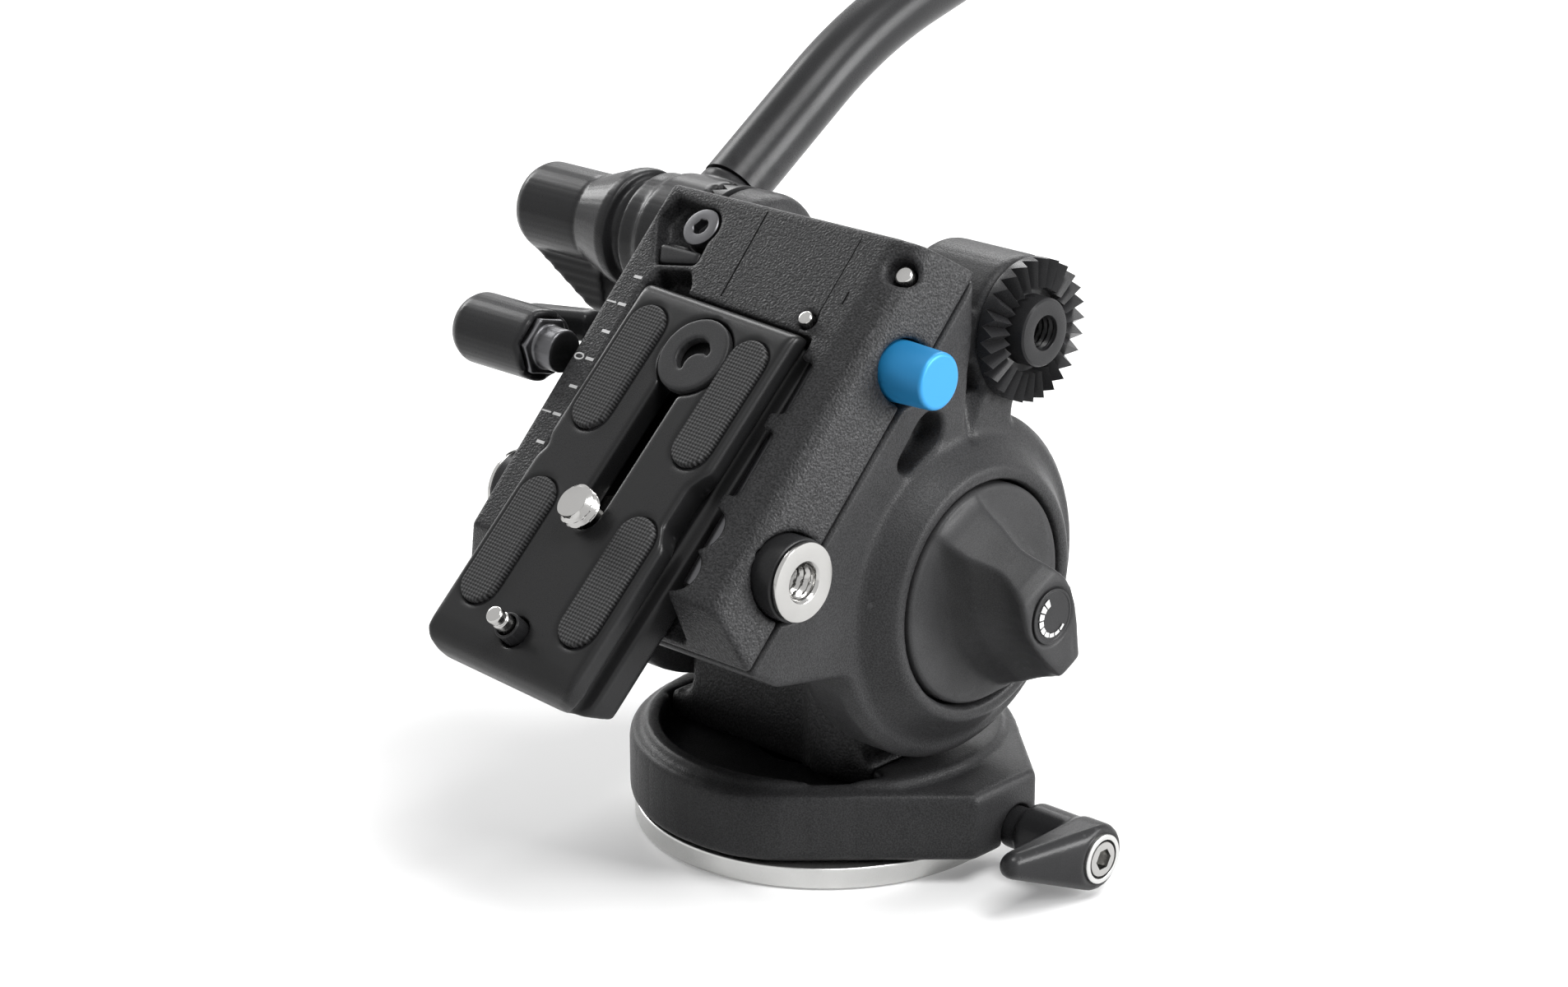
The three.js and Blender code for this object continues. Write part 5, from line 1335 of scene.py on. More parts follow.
@dataclass
class TiltKnob:
    """The tilt lock knob with the round label in its grip."""

    end_x: float = 46.2
    disc_x: float = 33.0
    label_radius: float = 4.3
    label_depth: float = 0.5
    label_gap: float = 0.15
    label_sink: float = 0.08
    bars: int = 9
    arc_inner: float = 1.95
    arc_outer: float = 3.2
    arc_last: float = 2.85
    bar_share: float = 0.78
    arc_from_deg: float = 64.0
    arc_to_deg: float = 283.0
    arc_rise: tuple[float, float] = (0.02, 0.12)
    arrow_radius: float = 12.8
    arrow_deg: float = 143.0
    arrow_length: float = 4.4
    arrow_width: float = 2.0
    dash_deg: float = 164.6
    dash_length: float = 1.9
    dash_width: float = 0.22
    disc_radius: float = 17.2
    disc_back_x: float = 25.5
    disc_edge: float = 0.5
    well_radius: float = 4.6
    wing_deg: float = 71.0
    wing_limit: float = 16.7
    profile_u: tuple[float, ...] = (-16.6, -15.6, -14.6, -13.6, -12.8, -10.4, 3.5, 5.6, 7.6, 9.3,
                                    10.8, 12.6, 14.6, 16.6)
    profile_x: tuple[float, ...] = (32.5, 35.0, 38.2, 41.4, 43.4, 46.2, 46.2, 45.7, 44.4, 42.5,
                                    40.2, 37.2, 34.6, 32.5)
    width_u: tuple[float, ...] = (-17.0, -14.5, -12.1, -8.5, -5.4, -2.0, 1.0, 3.5, 5.7, 9.5, 12.5,
                                  15.6, 17.0)
    face_half_width: tuple[float, ...] = (1.2, 1.9, 2.4, 3.5, 4.6, 5.5, 5.8, 5.4, 4.7, 3.7, 3.8,
                                          4.2, 4.4)
    foot_half_width: tuple[float, ...] = (2.2, 4.6, 6.1, 7.6, 8.5, 8.8, 8.5, 8.1, 7.5, 6.3, 5.2,
                                          4.4, 4.4)
    flare_power: float = 2.6
    undercut: float = 0.8
    ridge_edge: float = 0.55
    foot_fillet: float = 1.3
    knob: Skin = Skin(cell=0.27, spread=0.9)

    def _distance(self, x: Array, l: Array, n: Array) -> Array:
        """How far places are outside the knob.

        The knob is a disc with a rounded rim joined to a wing. With u along the wing and v
        across it, the wing ends at a height over u and at a half width over u. The half width
        grows from the face's to the foot's with a power of the depth under the face, less a half
        wave of that depth, which makes the finger scoops.

        Args:
            x: Distance to the right.
            l: Distance along the platform from the tilt axis.
            n: Distance square to the platform from the tilt axis.

        Returns:
            The distances in millimetres, minus inside.
        """
        radius = np.hypot(l, n)
        middle, half = (self.disc_x + self.disc_back_x) / 2, (self.disc_x - self.disc_back_x) / 2
        disc = rounded_max(radius - self.disc_radius, np.abs(x - middle) - half, self.disc_edge)
        angle = math.radians(self.wing_deg)
        u = l * math.cos(angle) + n * math.sin(angle)
        v = np.abs(n * math.cos(angle) - l * math.sin(angle))
        height = np.interp(u, self.profile_u, self.profile_x)
        slope = np.interp(u, self.profile_u, np.gradient(self.profile_x, self.profile_u))
        top = (x - height) / np.sqrt(1 + slope ** 2)
        depth = np.clip((self.end_x - x) / (self.end_x - self.disc_x), 0, 1)
        face = np.interp(u, self.width_u, self.face_half_width)
        foot = np.interp(u, self.width_u, self.foot_half_width)
        side = v - (face + (foot - face) * depth ** self.flare_power
                    - self.undercut * np.sin(np.pi * np.minimum(1.5 * depth, 1)))
        wing = rounded_max(rounded_max(top, side, self.ridge_edge), radius - self.wing_limit,
                           self.disc_edge)
        wing = np.maximum(wing, self.disc_back_x + half - x)
        well = np.maximum(radius - self.well_radius, self.end_x - self.label_depth - x)
        return np.maximum(rounded_min(disc, wing, self.foot_fillet), -well)

    def _arc_marks(self) -> Piece:
        """Bars round an open arc that grow shorter towards one end.

        A bar is a block between two angles and two radii; its inner radius grows evenly from
        the first bar to the last.

        Returns:
            The object.
        """
        step = (self.arc_to_deg - self.arc_from_deg) / self.bars
        start = np.radians(self.arc_from_deg + step * np.arange(self.bars))
        stop = start + math.radians(step) * self.bar_share
        inner = np.linspace(self.arc_inner, self.arc_last, self.bars)
        parts = 6
        angle = start[:, None] + (stop - start)[:, None] * np.linspace(0, 1, parts)[None]
        low, high = (self.end_x + rise for rise in self.arc_rise)
        rings = []
        for x, outside in ((low, False), (low, True), (high, True), (high, False)):
            reach = np.full_like(angle, self.arc_outer) if outside else np.repeat(
                inner[:, None], parts, axis=1)
            rings.append(np.stack([np.full_like(angle, x), reach * np.cos(angle),
                                   reach * np.sin(angle)], axis=-1))
        grid = np.stack(rings, axis=2)
        index = np.arange(self.bars * parts * 4).reshape(self.bars, parts, 4)
        caps = np.concatenate([index[:, 0, ::-1], index[:, -1]])
        return creased(mesh_object("knob_arc_marks", TILTING.world(grid.reshape(-1, 3)),
                                   np.concatenate([ring_faces(index), caps])), CREASE_DEG)

    def _disc_marks(self) -> Piece:
        """A plain arrow and a dash on the disc, along its rim, in near-black as painted shade of
        cut marks.

        Each is placed by the angle of its middle; along the rim is the direction square to the
        radius there.

        Returns:
            The object.
        """
        def framed(degrees: float, corners: Sequence[tuple[float, float]]) -> Array:
            """Corners given along and across the rim, moved to their angle.

            Args:
                degrees: Where their middle stands.
                corners: Rows of along and across.

            Returns:
                Rows of l and n.
            """
            angle = math.radians(degrees)
            out = np.array([math.cos(angle), math.sin(angle)])
            along = np.array([-out[1], out[0]])
            rows = np.array(corners)
            return (self.arrow_radius + rows[:, 1:]) * out + rows[:, :1] * along

        half, width = self.arrow_length / 2, self.arrow_width / 2
        arrow = framed(self.arrow_deg, [(-half, 0), (half / 3, -width), (half, 0),
                                        (half / 3, width)])
        reach, thin = self.dash_length / 2, self.dash_width / 2
        dash = framed(self.dash_deg, [(-reach, -thin), (reach, -thin), (reach, thin),
                                      (-reach, thin)])
        return inlays("knob_disc_cut_shade", np.stack([arrow, dash]),
                      (self.disc_x - 0.1, self.disc_x + 0.02), TILTING, Axis.X)

    def build(self) -> None:
        """Builds the knob, its label and the marks on it."""
        reach = self.disc_radius + 1
        knob = self.knob.around("tilt_lock_knob_moulded", (self.disc_back_x - 1, -reach, -reach),
                                (self.end_x + 1, reach, reach), TILTING, self._distance)
        install(knob, "tilt_knob", ["tilt_lock_knob"], PLASTIC)
        back = self.end_x - self.label_depth + self.label_gap
        sunk, rim = self.end_x - self.label_sink, self.label_radius - 0.35
        label = turned("tilt_knob_label_disc", [
            (0, back, 0), (self.label_radius, back, 0.1), (self.label_radius, self.end_x, 0.12),
            (rim, self.end_x, 0.05), (self.label_radius - 0.45, sunk, 0.05), (0, sunk, 0)],
            TILTING, Axis.X, sides=64)
        install(label, "tilt_knob", ["tilt_knob_label"], SMOOTH)
        install(self._arc_marks(), "tilt_knob", [], MARKS)
        # Painted shade: the arrow and dash are near-black strips standing for cut marks.
        install(self._disc_marks(), "tilt_knob", [], GROOVE_SHADE)


@dataclass
class Platform:
    """The platform casting with its rail marks, clamp bar, stop and safety pin."""

    top: float = 44.2
    casting: Skin = Skin(cell=0.34, fillet=0.2, edge=0.24, spread=0.6)
    # Near-black strips on the deck: painted shade of an engraved line, a ridge's edge and a small
    # tick.
    lines: tuple[tuple[float, float, float, float, float], ...] = (
        (-4.0, 32.9, -3.6, 17.7, 0.28), (15.5, 32.4, 15.5, 17.6, 0.16),
        (18.6, 23.6, 18.6, 21.4, 0.3))
    pivot_x: float = 24.3
    pivot_l: float = 29.3
    pivot_radius: float = 1.5
    pivot_drop: float = 1.9
    pivot_length: float = 5.0
    tick_x: tuple[float, float] = (-21.75, -20.1)
    tick_width: float = 0.5
    tick_first_l: float = 17.15
    tick_step: float = 5.0
    tick_count: int = 7
    numbers: tuple[tuple[str, float], ...] = (("1", 12.15), ("0", 2.15), ("1", -7.85))
    number_height: float = 2.1
    number_x: float = -23.1
    number_rise: float = 0.02
    number_half_thickness: float = 0.015
    letter_scale: float = 1.35
    bar_x: float = 18.4
    bar_n: float = 40.9
    bar_radius: float = 1.9
    bar_l: tuple[float, float] = (-26.0, 12.0)
    pin_x: float = 14.2
    pin_l: float = 17.6
    pin_radius: float = 1.2
    pin_rise: float = 1.0
    pin_length: float = 5.0
    screw_x: float = -14.9
    screw_l: float = 27.9
    screw_radius: float = 3.2
    screw_head: float = 3.2
    stem_radius: float = 1.6
    stem: float = 4.0
    hex_flat: float = 2.5
    hex_depth: float = 1.8
    block: Skin = Skin(cell=0.25, fillet=0.3, edge=0.4)
    tick_rise: tuple[float, float] = (0.005, 0.035)
    groove_shade_rise: tuple[float, float] = (-0.1, 0.012)

    def _marks(self) -> None:
        """Lays the rail's ticks and plain numbers a hair above its top, and near-black strips on
        the deck as painted shade of its cut lines.
        """
        ticks = self.tick_first_l - self.tick_step * np.arange(self.tick_count)
        start, stop, width = (np.full(len(ticks), v) for v in (*self.tick_x, self.tick_width))
        self._flat_marks("rail_ticks", np.stack([start, ticks, stop, ticks, width], axis=1),
                         self.tick_rise, MARKS)
        for count, (text, l) in enumerate(self.numbers):
            install(self._number(f"rail_number_{count + 1}", text, l), "tilt_body", [],
                    MARKS)
        # Painted shade: near-black strips where the deck has an engraved line, a ridge's edge and a
        # tick.
        self._flat_marks("deck_groove_shade", np.array(self.lines), self.groove_shade_rise,
                         GROOVE_SHADE)

    def _flat_marks(self, name: str, lines: Array, rise: tuple[float, float],
                    finish: Finish) -> None:
        """Lays straight strokes on the platform's top, between two heights over it."""
        install(inlays(name, strokes(lines), (self.top + rise[0], self.top + rise[1]), TILTING,
                       Axis.Z), "tilt_body", [], finish)

    def _number(self, name: str, text: str, l: float) -> Piece:
        """One plain number on the rail, read with the platform's rear to its left.

        Args:
            name: The object's name.
            text: The number.
            l: Its middle along the rail.

        Returns:
            The object.
        """
        curve = bpy.data.curves.new(name, "FONT")
        curve.body = text
        curve.align_x = "CENTER"
        curve.align_y = "CENTER"
        curve.size = self.number_height * self.letter_scale
        curve.extrude = self.number_half_thickness
        maker = bpy.data.objects.new(name + "_text", curve)
        bpy.context.scene.collection.objects.link(maker)
        mesh = finished_mesh(maker)
        bpy.data.objects.remove(maker)
        points = np.empty(len(mesh.vertices) * 3)
        mesh.vertices.foreach_get("co", points)
        placed = points.reshape(-1, 3) @ turn_about_z(90.0).T + np.array(
            [self.number_x, l, self.top + self.number_rise])
        mesh.vertices.foreach_set("co", TILTING.world(placed).astype(np.float32).ravel())
        mesh.name = name
        mesh.update()
        piece = bpy.data.objects.new(name, mesh)
        bpy.context.scene.collection.objects.link(piece)
        return piece

    def build(self) -> None:
        """Builds the platform and the small parts on it."""
        cover(self.casting, "platform", "cast", TILTING, "tilt_body", CASTING)
        self._marks()
        lying = TILTING.inside(np.array([[0.0, 1, 0], [1, 0, 0], [0, 0, -1]]), (0.0, 0.0, 0.0))
        bar = turned("clamp_bar_turned", rod(self.bar_radius, *self.bar_l, 0.4, 0.4), lying,
                     Axis.X, (self.bar_x, -self.bar_n), sides=48)
        install(bar, "tilt_body", ["clamp_bar"], DARK_STEEL)
        pivot_top = self.top - self.pivot_drop
        pivot = turned("clamp_pivot_pin_turned", rod(
            self.pivot_radius, pivot_top - self.pivot_length, pivot_top, 0.2, 0.5),
            TILTING, Axis.Z, (self.pivot_x, self.pivot_l), sides=48)
        install(pivot, "tilt_body", ["clamp_pivot_pin"], STEEL)
        pin_top = self.top + self.pin_rise
        pin = turned("safety_pin_turned", rod(
            self.pin_radius, pin_top - self.pin_length, pin_top, 0.2, 0.7),
            TILTING, Axis.Z, (self.pin_x, self.pin_l), sides=48)
        install(pin, "plate_catch", ["safety_pin"], STEEL)
        head = self.top - self.screw_head
        half = self.hex_flat / 2
        screw = turned("stop_screw_turned", [
            (0, head - self.stem, 0), (self.stem_radius, head - self.stem, 0.3),
            (self.stem_radius, head, 0.1), (self.screw_radius, head, 0.15),
            (self.screw_radius, self.top, 0.4), (half + 0.2, self.top, 0.06),
            (half, self.top - 0.2, 0.05), (half, self.top - self.hex_depth, 0.06),
            (0, self.top - self.hex_depth, 0)],
            TILTING, Axis.Z, (self.screw_x, self.screw_l), sides=72,
            shaping=hex_recess(self.hex_flat))
        install(screw, "tilt_body", ["stop_screw"], DARK_STEEL)
        cover(self.block, "stop_block", "cast", TILTING, "tilt_body", SMOOTH)


@dataclass
class SideFittings:
    """The accessory inserts with their sleeves, and the release button."""

    insert_l: float = -17.9
    insert_n: float = 35.1
    inner_x: float = 22.0
    sleeve_x: float = 29.9
    sleeve_radius: float = 6.3
    shank_radius: float = 4.0
    flange_radius: float = 5.97
    step: float = 0.3
    bore_radius: float = 2.65
    bore_flare: float = 0.55
    thread_pitch: float = 1.27
    thread_depth: float = 0.55
    button_l: float = 17.4
    button_n: float = 35.0
    button_base_x: float = 25.2
    button_end_x: float = 34.5
    button_radius: float = 4.7
    button_face_radius: float = 4.35
    stem_x: float = 21.5
    stem_radius: float = 2.8

    def _build_insert(self, side: str, place: Callable[[float], float]) -> None:
        """Builds one side's insert and sleeve.

        Args:
            side: Its name, right or left.
            place: Turns the right side's distances into this side's.
        """
        inner, sleeve, face = (
            place(x) for x in (self.inner_x, self.sleeve_x, RIGHT_INSERT_FACE_X))
        way = 1 if face > inner else -1
        centre = (self.insert_l, self.insert_n)
        bush = turned(f"insert_sleeve_{side}_turned", tube(
            self.shank_radius + SEAT_GAP, self.sleeve_radius, inner, sleeve,
            (0.1, 0.2, 0.35, 0.15)), TILTING, Axis.X, centre, sides=72)
        install(bush, "tilt_body", [f"insert_sleeve_{side}"], SMOOTH)
        step = sleeve + way * self.step
        low, high = min(inner, face), max(inner, face)
        insert = turned(f"insert_{side}_threaded", [
            (self.bore_radius, inner, 0.1), (self.shank_radius, inner, 0.1),
            (self.shank_radius, step, 0.05), (self.flange_radius, step, 0.1),
            (self.flange_radius, face, 0.22), (self.bore_radius + self.bore_flare, face, 0.1),
            (self.bore_radius, face - way * 0.5, 0.1),
            *ladder(self.bore_radius, face - way * 0.7, inner + way * 0.4, self.thread_pitch / 10),
        ], TILTING, Axis.X, centre, sides=72, shaping=thread(
            self.thread_pitch, self.thread_depth, low, high, True, self.bore_radius + 0.1))
        install(insert, "tilt_body", [f"insert_{side}"], STEEL)

    def build(self) -> None:
        """Builds both inserts and the button."""
        self._build_insert("right", unchanged)
        self._build_insert("left", on_left_insert)
        base, end = self.button_base_x, self.button_end_x
        button = turned("release_button_turned", [
            (0, self.stem_x, 0), (self.stem_radius, self.stem_x, 0.2),
            (self.stem_radius, base, 0.1), (self.button_radius, base, 0.3),
            (self.button_face_radius, end, 0.7), (0, end, 0)],
            TILTING, Axis.X, (self.button_l, self.button_n))
        install(button, "button", ["release_button"], BLUE)


@dataclass
class PlateKnob:
    """The plate lock knob and its shaft."""

    axis: tuple[float, float] = (2.4, 43.4)
    knob: Skin = Skin(cell=0.24, fillet=0.6, edge=0.45, spread=0.9,
                      facets=(Facets(Axis.X, 40, radius=(3.0, 5.85)),))
    shaft: Skin = Skin(cell=0.16, fillet=0.15, edge=0.2, spread=0.8,
                       facets=(Facets(Axis.X, 20, radius=(2.9, 3.5)),))

    def build(self) -> None:
        """Builds the knob and the shaft."""
        place = TILTING.inside(np.eye(3), (0.0, *self.axis))
        cover(self.knob, "plate_lock_knob", "turned", place, "plate_knob",
              SMOOTH)
        cover(self.shaft, "plate_lock_shaft", "turned", place, "plate_knob", DARK_STEEL)


@dataclass
class CameraPlate:
    """The sliding camera plate with its pads, disc, camera screw and video pin."""

    top: float = 47.2
    plate: Skin = Skin(cell=0.32, fillet=0.15, edge=0.28, spread=0.6)
    disc: Skin = Skin(cell=0.16, fillet=0.1, edge=0.22, spread=0.8,
                      facets=(Facets(Axis.Z, 20, radius=(5.0, 6.4), centre=(1.2, 22.8)),))
    pad_edge: float = 0.45
    pad_sides: int = 96
    pad_half_width: float = 3.4
    pad_length: float = 21.8
    pad_offset: float = 10.9
    pad_rear_l: float = 17.2
    pad_front_l: float = -13.8
    pad_sink: float = 0.55
    pad_rise: float = 0.6
    screw_l: float = -5.7
    screw_radius: float = 3.17
    screw_rise: float = 3.9
    neck_radius: float = 1.9
    head_radius: float = 6.8
    head: float = 3.0
    well_roof: float = 43.2
    washer_radius: float = 5.6
    washer: float = 1.0
    thread_pitch: float = 1.27
    thread_depth: float = 0.62
    pin_x: float = 0.4
    pin_l: float = -26.0
    pin_radius: float = 1.4
    pin_rise: float = 5.6
    pin_depth: float = 5.0
    pin_groove: float = 0.25
    pin_base_radius: float = 2.1
    pin_base_rise: float = 2.0

    def _pad(self, name: str, x: float, l: float) -> Piece:
        """One rubber pad with a low crown.

        Its outline is a slot with round ends, drawn in towards the middle line by shares of the
        half width, and the top falls off near the rim as a quarter circle of the edge.

        Args:
            name: The object's name.
            x: Middle of the pad across the plate.
            l: Middle of the pad along the plate.

        Returns:
            The pad, with a flat map for its weave.
        """
        sides, edge = self.pad_sides, self.pad_edge
        angle = 2 * np.pi * np.arange(sides) / sides
        straight = self.pad_length / 2 - self.pad_half_width
        shift = np.where(np.sin(angle) >= 0, straight, -straight)
        floor, crest = self.top - self.pad_sink, self.top + self.pad_rise
        fall = np.linspace(0, math.pi / 2, 6)
        reach = np.concatenate([[0.0, self.pad_half_width],
                                self.pad_half_width - edge + edge * np.cos(fall),
                                np.linspace(self.pad_half_width - edge, 0, 7)[1:]])
        height = np.concatenate([[floor, floor], crest - edge + edge * np.sin(fall),
                                 np.full(6, crest)])
        grid = np.stack([
            x + reach[:, None] * np.cos(angle)[None],
            l + reach[:, None] * np.sin(angle)[None] + shift[None] * np.ones((len(reach), 1)),
            np.repeat(height[:, None], sides, axis=1)], axis=-1)
        index = np.arange(len(reach) * sides).reshape(len(reach), sides)
        seam = np.stack([index[:, :sides // 2], index[:, sides // 2:][:, ::-1]], axis=0)
        ends = []
        for ring, turn in ((0, 1), (-1, -1)):
            left, right = seam[0, ring], seam[1, ring]
            strip = np.stack([left[:-1], left[1:], right[1:], right[:-1]], axis=-1)
            ends.append(strip if turn > 0 else strip[:, ::-1])
        points = grid.reshape(-1, 3)
        piece = creased(mesh_object(name, PLATE.world(points), np.concatenate(
            [ring_faces(index), *ends])), SOFT_CREASE_DEG)
        flat = piece.data.uv_layers.new(name="flat")
        corner = np.empty(len(piece.data.loops), np.int32)
        piece.data.loops.foreach_get("vertex_index", corner)
        flat.data.foreach_set("uv", (points[corner][:, :2] * MM).astype(np.float32).ravel())
        return piece

    def _screw(self) -> None:
        """Builds the captive camera screw and its washer."""
        roof = self.well_roof - SEAT_GAP
        head_top = roof - self.washer - SEAT_GAP
        low, high = self.top + SEAT_GAP, self.top + self.screw_rise
        screw = turned("camera_screw_threaded", [
            (0, head_top - self.head, 0), (self.head_radius, head_top - self.head, 0.4),
            (self.head_radius, head_top, 0.4), (self.neck_radius, head_top, 0.2),
            (self.neck_radius, low, 0.1), (self.screw_radius, low + 0.6, 0),
            *ladder(self.screw_radius, low + 0.7, high - 0.6, self.thread_pitch / 12),
            (self.screw_radius - 0.6, high, 0.15), (0, high, 0)],
            PLATE, Axis.Z, (0.0, self.screw_l), sides=72, shaping=thread(
                self.thread_pitch, self.thread_depth, low - 0.7, high + 1.2, False,
                self.neck_radius + 0.6))
        install(screw, "screw_body", ["camera_screw"], STEEL)
        washer = turned("screw_washer_turned", tube(
            self.neck_radius + SEAT_GAP, self.washer_radius, roof - self.washer, roof,
            (0.1, 0.2, 0.2, 0.1)), PLATE, Axis.Z, (0.0, self.screw_l), sides=64)
        install(washer, "screw_carriage", ["screw_washer"], STEEL)

    def _pin(self) -> None:
        """Builds the sprung video pin and its collar."""
        centre = (self.pin_x, self.pin_l)
        foot = self.top - self.pin_depth / 2 + SEAT_GAP
        collar = turned("video_pin_collar", tube(
            self.pin_radius + SEAT_GAP, self.pin_base_radius, foot,
            self.top + self.pin_base_rise, (0.1, 0.1, 0.35, 0.1)), PLATE, Axis.Z, centre, sides=48)
        install(collar, "plate_body", ["video_pin_base"], SMOOTH)
        end, start = self.top + self.pin_rise, self.top - self.pin_depth
        waist = self.pin_radius - self.pin_groove
        pin = turned("video_pin_turned", [
            (0, start, 0), (self.pin_radius, start, 0.2), (self.pin_radius, end - 2.0, 0.1),
            (waist, end - 1.8, 0.08), (waist, end - 1.5, 0.08), (self.pin_radius, end - 1.3, 0.1),
            (self.pin_radius, end, 0.6), (0, end, 0)], PLATE, Axis.Z, centre, sides=48)
        install(pin, "index_pin", ["video_pin"], STEEL)

    def build(self) -> None:
        """Builds the plate and everything it carries."""
        cover(self.plate, "camera_plate", "milled", PLATE, "plate_body",
              ANODISED)
        places = [(way * self.pad_offset, l) for l in (self.pad_rear_l, self.pad_front_l)
                  for way in (-1, 1)]
        for count, (x, l) in enumerate(places):
            pad = self._pad(f"pad_{count + 1}_woven", x, l)
            install(pad, "plate_body", [f"plate_pad_{count + 1}"], RUBBER)
        cover(self.disc, "plate_disc", "moulded", PLATE, "plate_body", PLASTIC)
        self._screw()
        self._pin()


@dataclass
class PanBar:
    """The pan bar: hub, bent tube and grip, with its clamp knob."""

    x: float = -42.4
    radius: float = 5.5
    wall: float = 1.1
    start: float = 12.4
    straight: float = 37.0
    rise_deg: float = 34.0
    bend_deg: float = 18.0
    bend_radius: float = 90.0
    rear: float = 225.0
    grip_radius: float = 13.0
    grip_length: float = 110.0
    grip_end: float = 3.0
    hub: Skin = Skin(cell=0.3, fillet=1.0, edge=0.5,
                     facets=(Facets(Axis.X, 40, radius=(7.0, 11.4)),))
    knob: Skin = Skin(cell=0.26, fillet=0.4, edge=0.35,
                      facets=(Facets(Axis.X, 40, radius=(3.0, 10.5)),))
    tube_sides: int = 64

    def _line(self, steps: int = 24) -> tuple[Array, Array]:
        """The tube's centre line and its rise at each point.

        It runs straight at the first rise, follows a curve from one straight to the other, whose
        control point is where the two straights meet, then runs straight at the second rise.

        Args:
            steps: Points along the bend.

        Returns:
            Points in the bar's millimetres and angles in radians.
        """
        first = math.radians(self.rise_deg)
        second = math.radians(self.rise_deg - self.bend_deg)
        origin = np.array([self.x, 0.0, 0.0])
        bend_start = origin + rising(first) * self.straight
        centre = bend_start + self.bend_radius * np.array([0, math.sin(first), -math.cos(first)])
        bend_end = centre + self.bend_radius * np.array([0, -math.sin(second), math.cos(second)])
        corner = bend_start + rising(first) * self.bend_radius * math.tan((first - second) / 2)
        end = bend_end + rising(second) * (self.rear - bend_end[1])
        s = np.linspace(0, 1, steps)[:, None]
        bend = (1 - s) ** 2 * bend_start + 2 * s * (1 - s) * corner + s ** 2 * bend_end
        angle = first + (second - first) * s[:, 0]
        points = np.concatenate([[origin + rising(first) * self.start], bend, [end]])
        return points, np.concatenate([[first], angle, [second]])

    def _tube(self) -> Piece:
        """The bent tube: two walls of rings along the line, joined at both ends.

        Returns:
            The object.
        """
        points, rise = self._line()
        up = np.stack([np.zeros_like(rise), -np.sin(rise), np.cos(rise)], axis=1)
        both = np.concatenate([points, points[::-1]])
        ups = np.concatenate([up, up[::-1]])
        radii = np.concatenate([np.full(len(points), self.radius),
                                np.full(len(points), self.radius - self.wall)])
        across = np.repeat(np.array([[1.0, 0, 0]]), len(both), axis=0)
        return creased(carried(
            "pan_bar_tube_bent", np.repeat(radii[:, None], self.tube_sides, axis=1) * MM,
            BAR.world(both), across, ups, True), SOFT_CREASE_DEG)

    def _grip(self) -> Piece:
        """The grip: a round profile, closed at its end, turned about the end of the line.

        Returns:
            The object.
        """
        points, rise = self._line()
        forward, side = rising(rise[-1]), np.array([1.0, 0, 0])
        high = self.grip_end + SEAT_GAP
        low = high - self.grip_length
        inner = self.radius + SEAT_GAP
        turn = np.stack([forward, side, np.cross(forward, side)], axis=1)
        place = BAR.inside(turn, points[-1])
        return turned("pan_bar_grip_foam", [
            (inner, low, 0.2), (self.grip_radius - 1.2, low, 2.4), (self.grip_radius, low + 6, 2.0),
            (self.grip_radius, high, 3.6), (0, high, 0), (0, high - self.grip_end, 0),
            (inner, high - self.grip_end, 0.1)], place, Axis.X)

    def build(self) -> None:
        """Builds the bar and its clamp."""
        cover(self.hub, "pan_bar_hub", "cast", BAR, "pan_bar", SMOOTH)
        install(self._tube(), "pan_bar", ["pan_bar_tube"], SMOOTH)
        install(self._grip(), "pan_bar", ["pan_bar_grip"], FOAM)
        cover(self.knob, "bar_clamp_knob", "moulded", BAR, "bar_knob", SMOOTH)
        dress_nodes(STEEL, "bar_clamp_bolt")


def seen_ray(nodes: Nodes) -> Socket:
    """One on rays that come from the camera, from gloss or through glass, and else nothing."""
    path = nodes.put("ShaderNodeLightPath")
    return nodes.sum("MAXIMUM", path.outputs["Is Camera Ray"], nodes.sum(
        "MAXIMUM", path.outputs["Is Glossy Ray"], path.outputs["Is Transmission Ray"]))


@dataclass(frozen=True)
class Lamp:
    """A soft rectangular lamp that faces the head's middle: metres and watts."""

    name: str
    place: tuple[float, float, float]
    size: tuple[float, float]
    power: float

    def hang(self, target: Sequence[float]) -> None:
        """Hangs the lamp so that it shines towards a place.

        Args:
            target: World metres.
        """
        data = bpy.data.lights.new(self.name, "AREA")
        data.shape = "RECTANGLE"
        data.size, data.size_y = self.size
        data.energy = self.power
        lamp = bpy.data.objects.new(self.name, data)
        aim = np.array(target) - np.array(self.place)
        aim /= np.linalg.norm(aim)
        side = np.cross(aim, [0.0, 0.0, 1.0])
        side /= np.linalg.norm(side)
        lamp.matrix_world = standing_matrix(side, np.cross(side, aim), -aim, self.place)
        bpy.context.scene.collection.objects.link(lamp)


def standing_matrix(right: Sequence[float], up: Sequence[float], back: Sequence[float],
                    place: Sequence[float]) -> Matrix:
    """The matrix of an object whose own directions point those ways, at that place.

    Args:
        right: Where its own x points.
        up: Where its own y points.
        back: Where its own z points.
        place: World metres.

    Returns:
        The matrix.
    """
    matrix = np.eye(4)
    matrix[:3] = np.stack([right, up, back, place], axis=1)
    return Matrix(matrix.tolist())


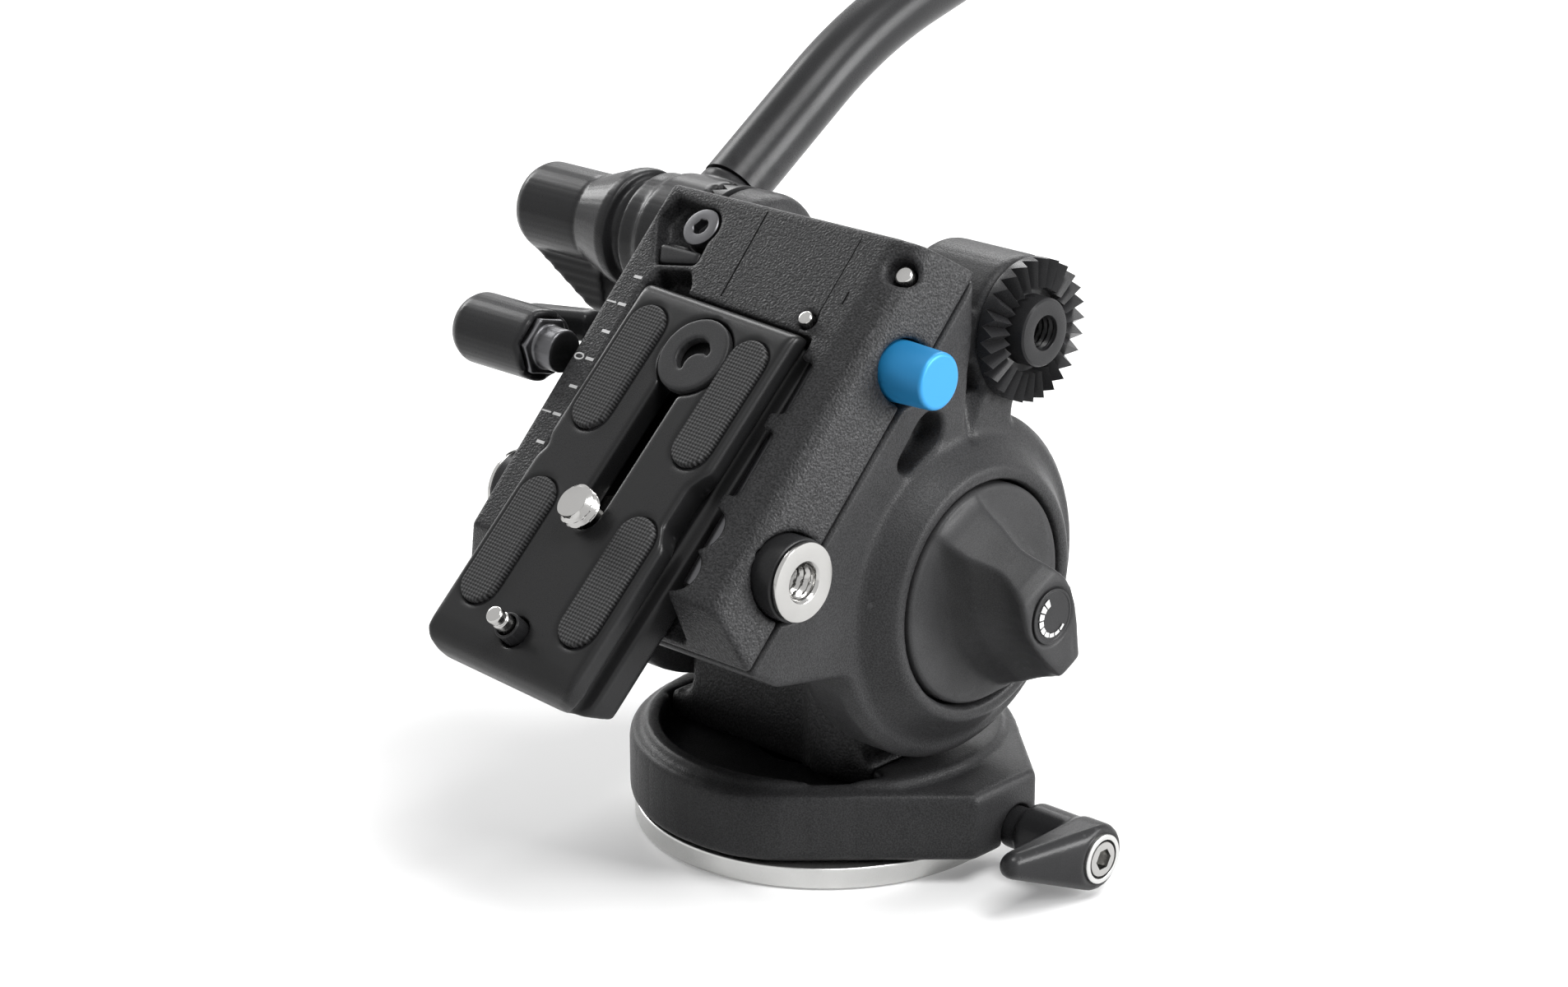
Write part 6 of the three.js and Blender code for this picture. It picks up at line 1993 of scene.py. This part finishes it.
@dataclass
class Studio:
    """The pale floor, the lamps, the world and the camera."""

    camera: tuple[float, float, float] = (0.3580, -0.3873, 0.2402)
    right: tuple[float, float, float] = (0.7261, 0.6876, 0.0)
    up: tuple[float, float, float] = (-0.2293, 0.2421, 0.9427)
    back: tuple[float, float, float] = (0.6482, -0.6845, 0.3335)
    lens: float = 82.31
    sensor: float = 36.0
    floor_size: float = 6.0
    world_level: float = 0.12
    floor_lift: float = 0.2
    floor_colour: float = 0.82
    floor_drop: float = 0.0002
    floor_points: int = 9
    target: tuple[float, float, float] = (0.0, 0.0, 0.06)
    lamps: tuple[Lamp, ...] = (
        Lamp("right_lamp", (1.3, 0.7, 0.5), (0.6, 0.7), 27),
        Lamp("high_lamp", (0.6, -0.05, 1.25), (0.6, 0.6), 14),
        Lamp("rear_lamp", (-0.5, 0.85, 0.85), (0.9, 0.5), 10),
        Lamp("left_lamp", (-1.25, 0.15, 0.75), (0.4, 0.8), 9))

    def _camera(self) -> None:
        """Sets the camera at the photograph's angle, which the matrix of its directions gives."""
        data = bpy.data.cameras.new("studio_camera")
        data.lens = self.lens
        data.sensor_width = self.sensor
        data.clip_start, data.clip_end = 0.01, 20
        camera = bpy.data.objects.new("studio_camera", data)
        camera.matrix_world = standing_matrix(self.right, self.up, self.back, self.camera)
        bpy.context.scene.collection.objects.link(camera)
        bpy.context.scene.camera = camera

    def _floor(self) -> None:
        """Lays a flat pale sheet under the base, as a square grid of points."""
        side = np.linspace(-self.floor_size / 2, self.floor_size / 2, self.floor_points)
        x, y = np.meshgrid(side, side, indexing="ij")
        points = np.stack([x, y, np.full_like(x, -self.floor_drop)], axis=-1).reshape(-1, 3)
        index = np.arange(self.floor_points ** 2).reshape(self.floor_points, -1)
        faces = np.stack([index[:-1, :-1], index[1:, :-1], index[1:, 1:], index[:-1, 1:]],
                         axis=-1).reshape(-1, 4)
        mesh = bpy.data.meshes.new("studio_floor")
        mesh.from_pydata(points.tolist(), [], faces.tolist())
        floor = bpy.data.objects.new("studio_floor", mesh)
        bpy.context.scene.collection.objects.link(floor)
        material, nodes, shader = new_material("pale_floor")
        nodes.feed(shader, {
            "Base Color": (*[self.floor_colour] * 3, 1), "Roughness": 0.9,
            "Specular IOR Level": 0.1, "Emission Color": (1, 1, 1, 1),
            "Emission Strength": nodes.sum("MULTIPLY", seen_ray(nodes), self.floor_lift)})
        put_on(floor, material)

    def _world(self) -> None:
        """A white surround for the camera and for gloss, and a plain grey level as light."""
        world = bpy.data.worlds.new("studio_world")
        bpy.context.scene.world = world
        world.use_nodes = True
        nodes = Nodes(world.node_tree)
        level = nodes.span(seen_ray(nodes), 0.0, 1.0, self.world_level)
        back = nodes.put("ShaderNodeBackground", {"Color": (1, 1, 1, 1), "Strength": level})
        nodes.put("ShaderNodeOutputWorld", {"Surface": back.outputs[0]})

    def build(self) -> None:
        """Sets up the studio."""
        bpy.context.scene.view_settings.view_transform = "Standard"
        self._camera()
        self._floor()
        self._world()
        for lamp in self.lamps:
            lamp.hang(self.target)



def main() -> None:
    """Builds the head, then the studio."""
    logging.basicConfig(level=logging.INFO, format="%(name)s %(message)s")
    for unit in (BaseUnit(), PanUnit(), PanLock(), TiltHousing(), Rosettes(), TiltKnob(),
                 Platform(), SideFittings(), PlateKnob(), CameraPlate(), PanBar(), Studio()):
        LOG.info("building %s", type(unit).__name__)
        unit.build()


if __name__ == "__main__":
    main()
